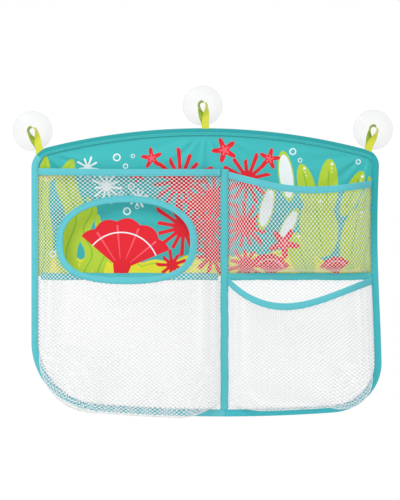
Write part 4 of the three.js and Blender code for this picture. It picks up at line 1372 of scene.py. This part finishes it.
class ORGANIZER_OT_back_net(bpy.types.Operator):
    """The net of the lower half of the back panel, which sways a little between its seams."""

    bl_idname = "organizer.back_net"
    bl_label = "Back net"

    def execute(self, context):
        scene, outline = context.scene, panel_outline()
        sizes, panel = scene.organizer_net, scene.organizer_panel
        level = (panel.back - panel.cloth / 2) / MM
        top = outline.seam - BACK_NET_GAP - sizes.short_pitch / MM / 2

        def keep(x, z):
            """Whether a diamond's centre lies inside the edge tape and below the seam."""
            return (outline.depth(x, z) > BACK_NET_UNDER_TAPE) & (z < top)

        def warp(x, z):
            """The net's surface: long low waves that die away towards its seams."""
            calm = ease((outline.depth(x, z) - BACK_CALM) / BACK_CALM_RUN)
            sway = waves(BACK_SWAY_WAVES, x, z) * calm * ease((outline.seam - z) / BACK_CALM_RUN)
            return np.stack([x, level + sway, z], axis=-1)

        low, high = (-outline.left, outline.bottom), (outline.right, outline.seam)
        points, faces, area, cut = diamond_net(keep, warp, low, high, sizes)
        piece = make_object("back_net", points, facing_out(points, faces), [net_look()])
        dress(piece, "white_net", "back_panel_mesh")
        declared(area, cut)
        return {"FINISHED"}


NET_UNDER_EDGE_TAPE = 4
NET_UNDER_SEAM_TAPE = 2.6
NET_UNDER_BAND = 3
NET_UNDER_WINDOW_TAPE = 4.5
BAND_LIFT = 1.7
BAND_START = 0.4
BAND_DROP = 1.0
BAND_GAP = 0.9
BAND_STATIONS, WINDOW_STATIONS = 90, 240
WINDOW_GROWTH = 1.0
WINDOW = {
    "x": -104, "drop": 153.5, "half_width": 97, "half_height": 61, "top_power": 2.2, "bottom_power": 2.9,
}


class ORGANIZER_OT_pockets(bpy.types.Operator):
    """The three net pockets, with the folded tapes over their mouths and round the window."""

    bl_idname = "organizer.pockets"
    bl_label = "Net pockets"

    def execute(self, context):
        outline, tape = panel_outline(), context.scene.organizer_tape
        pockets = {name: Pocket(name, outline, tape) for name in POCKETS}
        for pocket in pockets.values():
            self.net(pocket, context.scene.organizer_net)
            self.band(pocket, tape)
        self.window(pockets["left"], tape)
        return {"FINISHED"}

    def net(self, pocket, sizes):
        """The net, laid out as flat cloth and warped so that its diamonds keep their size on the
        bulging wall."""
        (run_x, flat_x), (run_z, flat_z) = pocket.fabric_axes()
        facts, outline = pocket.facts, pocket.outline
        wave = sizes.waviness / MM

        def flat(a, b):
            """The flat place of a place on the cloth."""
            return np.interp(a, run_x, flat_x), np.interp(b, run_z, flat_z)

        def warp(a, b):
            """The point of the pocket's surface at a place on the cloth."""
            return pocket.surface(*flat(a, b), wave)

        def keep(a, b):
            """Whether a diamond's centre lies inside the pocket's tapes."""
            x, z = flat(a, b)
            inner = pocket.out * (x - pocket.inner)
            if facts["corner"]:
                outer = below = outline.depth_inside(facts["side"], x, z)
            else:
                outer, below = pocket.out * (pocket.outer - x), z - outline.seam
            inside = (outer > NET_UNDER_EDGE_TAPE) & (z < pocket.mouth(x) - NET_UNDER_BAND)
            inside &= (inner > NET_UNDER_SEAM_TAPE) & (below > NET_UNDER_SEAM_TAPE)
            if pocket.name == "left":
                inside &= window_distance(outline, x, z) > -NET_UNDER_WINDOW_TAPE
            return inside

        low = (run_x[0], run_z[0])
        high = (run_x[-1], run_z[-1])
        points, faces, area, cut = diamond_net(keep, warp, low, high, sizes, facts["upright"])
        piece = make_object(pocket.name + "_pocket_net", points, facing_out(points, faces), [net_look()])
        dress(piece, "white_net", pocket.name + "_pocket_mesh")
        declared(area, cut)

    def tape(self, name, node, edge, away, sizes, closed=False):
        """A tape folded over an edge of the net. away holds points of the net a tape's width from that
        edge."""
        past = unit(edge - away)
        if closed:
            along = unit(np.roll(edge, -1, axis=0) - np.roll(edge, 1, axis=0))
        else:
            along = unit(np.gradient(edge, axis=0))
        front = unit(np.cross(along, past))
        front = np.where(front[:, 1:2] > 0, -front, front)
        looks = tape_look("turquoise")
        width = sizes.width / MM
        piece = tape_with_stitches(name, edge, past, front, width, BAND_GAP, sizes, looks, closed)
        dress(piece, "turquoise_tape", node)

    def band(self, pocket, tape):
        """The tape folded over the mouth, which leans with the net below it."""
        start = pocket.inner + pocket.out * (pocket.centre_half + BAND_START)
        end = pocket.outer - pocket.out * (pocket.tape_width + BAND_START)
        x = np.linspace(start, end, BAND_STATIONS)
        top = pocket.mouth(x) - BAND_DROP
        edge = pocket.surface(x, top)
        below = pocket.surface(x, top - tape.width / MM)
        edge[:, 1] = np.minimum(edge[:, 1], HEM_LEVEL - BAND_LIFT)
        below[:, 1] = np.minimum(below[:, 1], HEM_LEVEL - BAND_LIFT)
        self.tape(pocket.name + "_pocket_mouth_tape", pocket.name + "_pocket_band", edge, below, tape)

    def window(self, pocket, tape):
        """The tape round the window, folded over the net's cut edge."""
        angle = np.linspace(0, FULL_TURN, WINDOW_STATIONS, endpoint=False)
        inner = oval(pocket.outline, angle, WINDOW_GROWTH - tape.width / MM)
        outer = oval(pocket.outline, angle, WINDOW_GROWTH)
        edge = pocket.surface(inner[:, 0], inner[:, 1])
        away = pocket.surface(outer[:, 0], outer[:, 1])
        self.tape("window_tape", "window_binding", edge, away, tape, closed=True)


def oval(outline, angle, grow):
    """The window's outline at polar angles, grown by a distance: a superellipse, squarer below than
    above."""
    cos, sin = np.cos(angle), np.sin(angle)
    power = np.where(sin > 0, WINDOW["top_power"], WINDOW["bottom_power"])
    across = np.abs(cos) / (WINDOW["half_width"] + grow)
    up = np.abs(sin) / (WINDOW["half_height"] + grow)
    reach = (across ** power + up ** power) ** (-1 / power)
    return np.stack([WINDOW["x"] + reach * cos, outline.crown - WINDOW["drop"] + reach * sin], axis=-1)


def window_distance(outline, x, z):
    """How far a point lies outside the window tape's outer edge, measured along its polar ray."""
    dx, dz = x - WINDOW["x"], z - outline.crown + WINDOW["drop"]
    rim = oval(outline, np.arctan2(dz, dx), 0)
    reach = np.hypot(rim[..., 0] - WINDOW["x"], rim[..., 1] - outline.crown + WINDOW["drop"])
    return np.hypot(dx, dz) - reach


EDGE_TAPE_GAP = 1.15
EDGE_TAPE_LEVEL = 0.85


class ORGANIZER_OT_edge_tapes(bpy.types.Operator):
    """The folded tapes over the panel's edge: the dark one on top and the two turquoise ones."""

    bl_idname = "organizer.edge_tapes"
    bl_label = "Edge tapes"

    def execute(self, context):
        outline, tape = panel_outline(), context.scene.organizer_tape
        step = tape.step / MM
        runs = (
            ("top_binding_tape", "top_binding", outline.top(step), "dark"),
            ("left_binding_tape", "left_binding", outline.side("left", step), "turquoise"),
            # The right binding takes the side kind's darker tints: painted shade.
            ("right_binding_tape", "right_binding", outline.side("right", step), "side"),
        )
        fold = EDGE_TAPE_GAP + tape.thickness / MM
        level = context.scene.organizer_panel.back / MM - EDGE_TAPE_LEVEL
        for name, node, (points, inwards), kind in runs:
            edge = points + inwards * fold
            edge = np.stack([edge[:, 0], np.full(len(edge), level), edge[:, 1]], axis=1)
            past = np.stack([-inwards[:, 0], np.zeros(len(edge)), -inwards[:, 1]], axis=1)
            front = np.tile(OUTWARDS, (len(edge), 1))
            looks = tape_look(kind)
            width = tape.width / MM
            piece = tape_with_stitches(name, edge, past, front, width, EDGE_TAPE_GAP, tape, looks)
            dress(piece, "dark_tape" if kind == "dark" else "turquoise_tape", node)
        return {"FINISHED"}


FLAT_COLUMNS, FLAT_LEAST_STATIONS = 9, 8
FLAT_SWAY_WAVES = ((0.25, 0.09, 0, 0), (0.15, 0.31, 0, 1))
FLAT_WIDTH_WAVES = ((0.01, 0.2, 0, 0),)
FLAT_RIPPLE_WAVES = ((0.4, 0.6, 0, 0),)
FLAT_DOME, FLAT_LEVEL = 0.45, 0.1


class ORGANIZER_OT_seam_tapes(bpy.types.Operator):
    """The flat tapes over the seams between the pockets and between the two halves of the panel."""

    bl_idname = "organizer.seam_tapes"
    bl_label = "Seam tapes"

    def execute(self, context):
        tape = context.scene.organizer_tape
        self.flat_tape("centre_seam_tape", "centre_tape", tape)
        self.flat_tape("horizontal_seam_tape", "horizontal_tape", tape)
        self.flat_tape("rear_seam_tape", "back_seam_tape", tape)
        return {"FINISHED"}

    def flat_tape(self, name, node, tape):
        """A tape with a slightly raised middle and pressed edges, stitched down along both sides. Its
        middle line sways, its width wavers and its edges ripple, each as a sum of sines along its run."""
        low, high = [np.array(corner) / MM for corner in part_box(node)]
        middle = (low + high) / 2
        half = (high - low) / 2
        tall = half[2] > half[0]
        reach, half_width = (half[2], half[0]) if tall else (half[0], half[2])
        thickness = tape.thickness / MM
        stations = max(FLAT_LEAST_STATIONS, int(2 * reach / (tape.step / MM)))
        along = np.linspace(-reach, reach, stations)[:, None]
        across = np.linspace(-1, 1, FLAT_COLUMNS)[None]
        ripple = tape.ripple / MM * waves(FLAT_RIPPLE_WAVES, along) * abs(across)
        y = middle[1] - FLAT_DOME * (1 - across ** 4) - ripple + FLAT_LEVEL
        out = across * half_width * (1 + waves(FLAT_WIDTH_WAVES, along)) + waves(FLAT_SWAY_WAVES, along)
        along = np.broadcast_to(along, out.shape)
        x, z = (middle[0] + out, middle[2] + along) if tall else (middle[0] + along, middle[2] + out)
        grid = np.stack([x, y, z], axis=-1)
        points, faces = closed_sheet(grid, thickness)[:2]
        cloth = np.stack([along, out], axis=-1).reshape(-1, 2)
        parts = [(points, facing_out(points, faces), np.vstack([cloth, cloth]))]
        for side in (1, -2):
            path = grid[:, side] + OUTWARDS * thickness / 2
            up = np.tile(OUTWARDS, (stations, 1))
            parts.append(stitches(path, unit(np.gradient(path, axis=0)), up, tape))
        points, faces, cloth = joined(parts)
        which = thread_faces(parts[0][1], faces)
        piece = make_object(name, points, faces, tape_look("deep"), cloth, which, sharp=SHEET_SHARP)
        dress(piece, "deep_tape", node)


class Hanger:
    """A hanger's joints: its seam and its cup, the unit vector up from one to the other over their
    reach, and the one beside it."""

    def __init__(self, name):
        joints = {joint["name"]: joint for joint in frame["record"]["behaviour"]["joints"]}
        self.seam = np.array(joints[name + "_loop_fold"]["pos_m"]) / MM
        self.cup = np.array(joints[name + "_cup_turn"]["pos_m"]) / MM
        flat = (self.cup - self.seam) * IN_WALL
        self.reach = float(np.linalg.norm(flat))
        self.up = flat / self.reach
        self.beside = np.array([self.up[2], 0, -self.up[0]])


NECK_TURN = math.radians(68)
NECK_CLEARANCE = 0.3
TURNOVER_SHARE = 0.6
LEG_GAP = 0.15
LEG_STATIONS, RING_STATIONS = 52, 40
LEG_CROWDING = 1.5
TURN_START_SHARE, SPREAD_END_SHARE, PARTING_START_SHARE = 0.25, 0.5, 0.1
LOOP_COLUMNS = 9
LOOP_HOLLOW = 0.12
LOOP_THICKNESS_SHARE = 0.8
ROOT_GAP = 0.02
ROOT_UNDER_TAPE = 1.2
ROOT_THICKNESS = 1.7
ROOT_ROWS, ROOT_COLUMNS = 9, 15
FOLD_RUN = 1.3


class ORGANIZER_OT_loops(bpy.types.Operator):
    """The ribbon loops. Their two legs lie flat on each other at the seam, then part and turn to pass
    the neck of the cup on either side, still slanted, so that the front shows the outside of one leg
    and the inside of the other."""

    bl_idname = "organizer.loops"
    bl_label = "Ribbon loops"

    def execute(self, context):
        scene, outline = context.scene, panel_outline()
        colours, sizes = scene.organizer_colours, scene.organizer_cups
        looks = [
            made_once("ribbon_outside", ribbon_material, tuple(colours.ribbon)),
            # The inside look is the painted shade on the loops' inner face.
            made_once("ribbon_inside", ribbon_material, tuple(colours.ribbon_inside)),
        ]
        for name in HANGERS:
            self.loop(name, sizes, looks)
            self.root(name, sizes, outline, looks)
        return {"FINISHED"}

    def stations(self, hanger, sizes):
        """Middle line, direction across and width of the ribbon, all the way round. A leg runs from
        the seam to the neck: it rises to the neck's level, parts from the other leg and turns on edge,
        each by a smooth step. The ring between the legs is half a circle round the neck, as wide as
        the ribbon's slant there asks for."""
        seam, up, beside, back = hanger.seam, hanger.up, hanger.beside, -OUTWARDS
        thickness = sizes.ribbon_thickness / MM
        wide, narrow = sizes.ribbon_width / MM, sizes.neck_width / MM
        neck_level = -(sizes.body + sizes.neck_length / 2) / MM

        def ring_reach(slant):
            """From the neck's axis to the ribbon's middle, where its section slants."""
            half = narrow / 2 * np.abs(slant) + thickness / 2 * np.sqrt(1 - slant ** 2)
            return sizes.neck_radius / MM + NECK_CLEARANCE + half

        up_share = np.linspace(0, 1, LEG_STATIONS) ** LEG_CROWDING
        turned = ease((up_share - TURN_START_SHARE) / (1 - TURN_START_SHARE))
        parted = ease((up_share - PARTING_START_SHARE) / (1 - PARTING_START_SHARE))
        spread = ease(up_share / SPREAD_END_SHARE) * math.pi / 2
        away = mix(thickness / 2 + LEG_GAP, ring_reach(np.cos(NECK_TURN)), parted)
        level = mix(seam[1], neck_level, ease(up_share))
        along = seam * IN_WALL + up_share[:, None] * hanger.reach * up + level[:, None] * back
        apart = np.sin(spread)[:, None] * beside - np.cos(spread)[:, None] * back
        across = np.cos(turned * NECK_TURN)[:, None] * beside + np.sin(turned * NECK_TURN)[:, None] * back
        width = mix(wide, narrow, turned)

        angle = np.linspace(0, math.pi, RING_STATIONS + 1)[1:-1]
        slant = math.cos(NECK_TURN) * np.cos(math.pi * np.minimum(1, angle / math.pi / TURNOVER_SHARE))
        radial = np.cos(angle)[:, None] * beside + np.sin(angle)[:, None] * up
        ring = hanger.cup * IN_WALL + neck_level * back + ring_reach(slant)[:, None] * radial
        ring_across = slant[:, None] * radial + np.sqrt(1 - slant ** 2)[:, None] * back

        legs = [along + sign * away[:, None] * apart for sign in (1, -1)]
        return (
            np.vstack([legs[0], ring, legs[1][::-1]]),
            np.vstack([across, ring_across, across[::-1]]),
            np.concatenate([width, np.full(len(angle), narrow), width[::-1]]),
        )

    def ribbon(self, name, grid, thickness, cloth, looks):
        """A grid of points as a ribbon of its thickness. Where there are two looks, the second is its
        inside, a darker copy of the first that paints shade."""
        points, faces, far = closed_sheet(grid, thickness)
        if points[0, 1] > points[len(points) // 2, 1]:
            far = 1 - far
        which = far if len(looks) > 1 else None
        cloth = np.stack(np.broadcast_arrays(*cloth), axis=-1).reshape(-1, 2)
        cloth = np.vstack([cloth, cloth])
        faces = facing_out(points, faces)
        return make_object(name, points, faces, looks, cloth, which, sharp=SHEET_SHARP)

    def fold(self, piece, name, hanger):
        """Bakes the ribbon's place into its mesh. The ends of its folding line are worked out, but nothing
        uses them."""
        start, end = [tuple((hanger.seam + side * FOLD_RUN * hanger.up) * MM) for side in (-1, 1)]
        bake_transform(piece)

    def loop(self, name, sizes, looks):
        """The moving loop, slightly hollow across its width."""
        hanger = Hanger(name)
        line, across, width = self.stations(hanger, sizes)
        u = np.linspace(-0.5, 0.5, LOOP_COLUMNS)[None]
        offset = u * width[:, None]
        normal = unit(np.cross(unit(np.gradient(line, axis=0)), across))
        hollow = LOOP_HOLLOW * (1 - (u * 2) ** 2)
        grid = line[:, None] + across[:, None] * offset[..., None] + normal[:, None] * hollow[..., None]
        thickness = sizes.ribbon_thickness / MM * LOOP_THICKNESS_SHARE
        cloth = (run_along(line)[:, None], offset)
        piece = self.ribbon(name + "_ribbon_loop", grid, thickness, cloth, looks)
        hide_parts(name + "_loop")
        self.fold(piece, name, hanger)

    def root(self, name, sizes, outline, looks):
        """The ribbon's sewn root, which fills the small space between the panel's edge and the folding
        line."""
        hanger = Hanger(name)
        offset = np.linspace(-1, 1, ROOT_COLUMNS)[None] * sizes.ribbon_width / MM / 2
        high = hanger.seam * IN_WALL + offset[0, :, None] * hanger.beside - hanger.up * ROOT_GAP
        edge = outline.top_height(high[:, 0], ROOT_UNDER_TAPE)
        low = np.stack([high[:, 0], np.zeros(ROOT_COLUMNS), edge], axis=1)
        grid = mix(low, high, np.linspace(0, 1, ROOT_ROWS)[:, None, None])
        grid[..., 1] = hanger.seam[1]
        cloth = (grid[..., 2], offset)
        piece = self.ribbon(name + "_ribbon_root", grid, ROOT_THICKNESS, cloth, looks[:1])
        self.fold(piece, name, hanger)


CUP_HOLLOW = 5.0
CUP_HOLLOW_INSET = 1.0
CUP_LIP = 0.45
CUP_DOME_INSET, CUP_DOME_START = 0.5, 0.95
CUP_RING, CUP_RING_SHARE, CUP_RING_WIDTH_SHARE = 0.3, 0.62, 0.08
CUP_FILLET = 0.5
CUP_HEAD_ROUND = 1.8
CUP_STATIONS, CUP_CROWN_STATIONS = 13, 8
CUP_LIP_STATIONS, CUP_FILLET_STATIONS, CUP_RIM_STATIONS = 7, 6, 8
CUP_RIM_END = 60
CUP_SEGMENTS = 96
CUP_SHARP = 40


def round_arc(centre, radius, start, end, count):
    """Points on an arc from one angle in degrees to another."""
    angle = np.radians(np.linspace(start, end, count))
    return np.array(centre) + radius * np.stack([np.cos(angle), np.sin(angle)], axis=1)


class ORGANIZER_OT_cups(bpy.types.Operator):
    """The clear suction cups, each a profile turned about its own axis."""

    bl_idname = "organizer.cups"
    bl_label = "Suction cups"

    def execute(self, context):
        scene = context.scene
        for name in HANGERS:
            self.cup(name, scene.organizer_cups, scene.organizer_colours)
        return {"FINISHED"}

    def profile(self, sizes):
        """Radius and height of a cup's outline, from the middle of its hollow round to the middle of
        its head: a cubic hollow, a round lip, a dome that rises as a quarter sine with one moulded
        ring, and a round head."""
        radius, body = sizes.diameter / MM / 2, sizes.body / MM
        neck, head, shoulder = sizes.neck_radius / MM, sizes.head_radius / MM, sizes.shoulder / MM
        top = body + sizes.neck_length / MM
        crown = top + sizes.head / MM
        s = np.linspace(0, 1, CUP_STATIONS + 1)[1:]
        hollow = np.stack([s * (radius - CUP_HOLLOW_INSET), CUP_HOLLOW * (1 - s ** 3)], axis=1)
        lip = round_arc((radius - CUP_LIP, CUP_LIP), CUP_LIP, -90, 90, CUP_LIP_STATIONS)
        ring = CUP_RING * np.exp(-((s - CUP_RING_SHARE) / CUP_RING_WIDTH_SHARE) ** 2)
        rise = mix(CUP_DOME_START, body, np.sin(s * math.pi / 2)) + ring
        dome = np.stack([mix(radius - CUP_DOME_INSET, shoulder, s), rise], axis=1)
        corner = (neck + CUP_FILLET, body + CUP_FILLET)
        fillet = round_arc(corner, CUP_FILLET, -90, -180, CUP_FILLET_STATIONS)
        under = np.array([
            [neck, top - CUP_FILLET], [neck + CUP_FILLET / 2, top - CUP_FILLET / 5],
            [head - CUP_HEAD_ROUND, top],
        ])
        corner = (head - CUP_HEAD_ROUND, top + CUP_HEAD_ROUND)
        rim = round_arc(corner, CUP_HEAD_ROUND, -90, CUP_RIM_END, CUP_RIM_STATIONS)[1:]
        q = np.linspace(0, 1, CUP_CROWN_STATIONS + 1)[1:]
        cap = np.stack([rim[-1, 0] * (1 - q), mix(rim[-1, 1], crown, np.sin(q * math.pi / 2))], axis=1)
        return np.vstack([[[0, CUP_HOLLOW]], hollow[:-1], lip, dome, fillet, under, rim, cap])

    def cup(self, name, sizes, colours):
        """One cup: its profile turned, with a fan of faces at each end."""
        profile = self.profile(sizes)
        ring = profile[1:-1]
        angle = np.arange(CUP_SEGMENTS) / CUP_SEGMENTS * FULL_TURN
        grid = np.stack([
            ring[:, 0, None] * np.cos(angle),
            np.broadcast_to(-ring[:, 1, None], (len(ring), CUP_SEGMENTS)),
            ring[:, 0, None] * np.sin(angle),
        ], axis=-1)
        points = np.vstack([grid.reshape(-1, 3), [[0, -profile[0, 1], 0]], [[0, -profile[-1, 1], 0]]])
        quads = grid_quads(len(ring), CUP_SEGMENTS, wrap_columns=True)
        first = np.arange(CUP_SEGMENTS)
        last = first + (len(ring) - 1) * CUP_SEGMENTS
        start, end = [np.full(CUP_SEGMENTS, len(points) - back) for back in (2, 1)]
        hollow = np.stack([start, np.roll(first, -1), first], axis=1)
        crown = np.stack([end, last, np.roll(last, -1)], axis=1)
        cloth = np.zeros((len(points), 2))
        cloth[:, 1] = np.hypot(points[:, 0], points[:, 2])
        points = points + Hanger(name).cup * IN_WALL
        faces = facing_out(points, [quads, hollow, crown])
        clear = made_once("clear_plastic", plastic_material, tuple(colours.cup))
        title = name + "_suction_cup_clear"
        piece = make_object(title, points, faces, [clear], cloth, sharp=CUP_SHARP)
        dress(piece, "clear_plastic", name + "_cup", body=name + "_suction_cup")


CAMERA_DISTANCE, CAMERA_X, CAMERA_Z = 3.2, -0.0036, -0.1994
FRAMED_WIDTH, FRAMED_DISTANCE = 0.55, 0.015
SENSOR_WIDTH = 36
CAMERA_REACH = 20
WORLD_STRENGTH = 0.84
LAMP_PLACE, LAMP_AIM = (-1.1, -1.5, 1.2), (0, 0, -0.22)
LAMP_SIZE, LAMP_POWER = 0.9, 18.0
FLOOR_LEVEL, FLOOR_REACH, FLOOR_BACK = -900, 1400, 1100
FLOOR_SHADE, FLOOR_ROUGHNESS = 0.92, 0.9


class ORGANIZER_OT_stage(bpy.types.Operator):
    """The camera at the photograph's view, the lamp, the white world and a pale floor."""

    bl_idname = "organizer.stage"
    bl_label = "Stage"

    def execute(self, context):
        scene = context.scene
        scene.view_settings.view_transform = "Standard"
        self.camera(scene)
        self.world(scene)
        self.lamp(scene)
        self.floor()
        return {"FINISHED"}

    def camera(self, scene):
        """A long lens, square to the wall, framed as the photograph is."""
        data = bpy.data.cameras.new("camera")
        data.sensor_fit = "HORIZONTAL"
        data.sensor_width = SENSOR_WIDTH
        data.lens = SENSOR_WIDTH * (CAMERA_DISTANCE - FRAMED_DISTANCE) / FRAMED_WIDTH
        data.clip_end = CAMERA_REACH
        camera = bpy.data.objects.new("camera", data)
        camera.location = (CAMERA_X, -CAMERA_DISTANCE, CAMERA_Z)
        camera.rotation_euler = (math.pi / 2, 0, 0)
        scene.collection.objects.link(camera)
        scene.camera = camera

    def world(self, scene):
        """White all round for the camera, glass and gloss, and a soft pale light for the rest."""
        world = bpy.data.worlds.new("studio")
        scene.world = world
        world.use_nodes = True
        tree = world.node_tree
        path = tree.nodes.new("ShaderNodeLightPath").outputs
        seen = path["Is Camera Ray"]
        for ray in ("Is Glossy Ray", "Is Transmission Ray"):
            either = tree.nodes.new("ShaderNodeMath")
            either.operation = "MAXIMUM"
            tree.links.new(seen, either.inputs[0])
            tree.links.new(path[ray], either.inputs[1])
            seen = either.outputs[0]
        strength = tree.nodes.new("ShaderNodeMapRange")
        strength.inputs["To Min"].default_value = WORLD_STRENGTH
        strength.inputs["To Max"].default_value = 1.0
        tree.links.new(seen, strength.inputs["Value"])
        background = tree.nodes["Background"]
        background.inputs["Color"].default_value = (1, 1, 1, 1)
        tree.links.new(strength.outputs["Result"], background.inputs["Strength"])

    def lamp(self, scene):
        """A square area lamp that points at the middle of the organizer."""
        data = bpy.data.lights.new("key_lamp", "AREA")
        data.size = LAMP_SIZE
        data.energy = LAMP_POWER
        lamp = bpy.data.objects.new("key_lamp", data)
        lamp.location = LAMP_PLACE
        aim = Vector(LAMP_AIM) - Vector(LAMP_PLACE)
        lamp.rotation_euler = aim.to_track_quat("-Z", "Y").to_euler()
        scene.collection.objects.link(lamp)

    def floor(self):
        """A pale floor below the organizer."""
        floor_look = Look("studio_floor")
        floor_look.set("Base Color", (FLOOR_SHADE, FLOOR_SHADE, FLOOR_SHADE))
        floor_look.set("Roughness", FLOOR_ROUGHNESS)
        near, far = -FLOOR_REACH, FLOOR_BACK
        corners = ((-FLOOR_REACH, near), (FLOOR_REACH, near), (FLOOR_REACH, far), (-FLOOR_REACH, far))
        points = np.array([(x, y, FLOOR_LEVEL) for x, y in corners], float)
        floor = make_object("studio_floor", points, [[[0, 1, 2, 3]]], [floor_look.material])


class ORGANIZER_PT_panel(bpy.types.Panel):
    """Lists the organizer's operators and settings."""

    bl_idname = "ORGANIZER_PT_panel"
    bl_label = "Organizer"
    bl_space_type = "VIEW_3D"
    bl_region_type = "UI"
    bl_category = "Organizer"

    def draw(self, context):
        """A button for each operator, then a box for each group of settings."""
        for operator in OPERATORS:
            self.layout.operator(operator.bl_idname)
        for name in SETTINGS:
            settings = getattr(context.scene, name)
            box = self.layout.box()
            for field in settings.bl_rna.properties.keys():
                if field not in ("rna_type", "name"):
                    box.prop(settings, field)


OPERATORS = (
    ORGANIZER_OT_stage,
    ORGANIZER_OT_edge_tapes,
    ORGANIZER_OT_print,
    ORGANIZER_OT_back_net,
    ORGANIZER_OT_pockets,
    ORGANIZER_OT_seam_tapes,
    ORGANIZER_OT_loops,
    ORGANIZER_OT_cups,
)
SETTINGS = {
    "organizer_panel": OrganizerPanelSizes,
    "organizer_tape": OrganizerTapeSizes,
    "organizer_net": OrganizerNetSizes,
    "organizer_cups": OrganizerCupSizes,
    "organizer_colours": OrganizerColours,
}


def register():
    """Makes the settings, the operators and the panel known, and hangs the settings on the scene."""
    for group in (*SETTINGS.values(), *OPERATORS, ORGANIZER_PT_panel):
        bpy.utils.register_class(group)
    for name, group in SETTINGS.items():
        setattr(bpy.types.Scene, name, PointerProperty(type=group))


def unregister():
    """Takes back what register did, in the opposite order."""
    for name in SETTINGS:
        delattr(bpy.types.Scene, name)
    for group in (ORGANIZER_PT_panel, *reversed(OPERATORS), *reversed(SETTINGS.values())):
        bpy.utils.unregister_class(group)


def main():
    """Builds the organizer, one operator after another."""
    register()
    for operator in OPERATORS:
        category, name = operator.bl_idname.split(".")
        getattr(getattr(bpy.ops, category), name)()


if __name__ == "__main__":
    main()
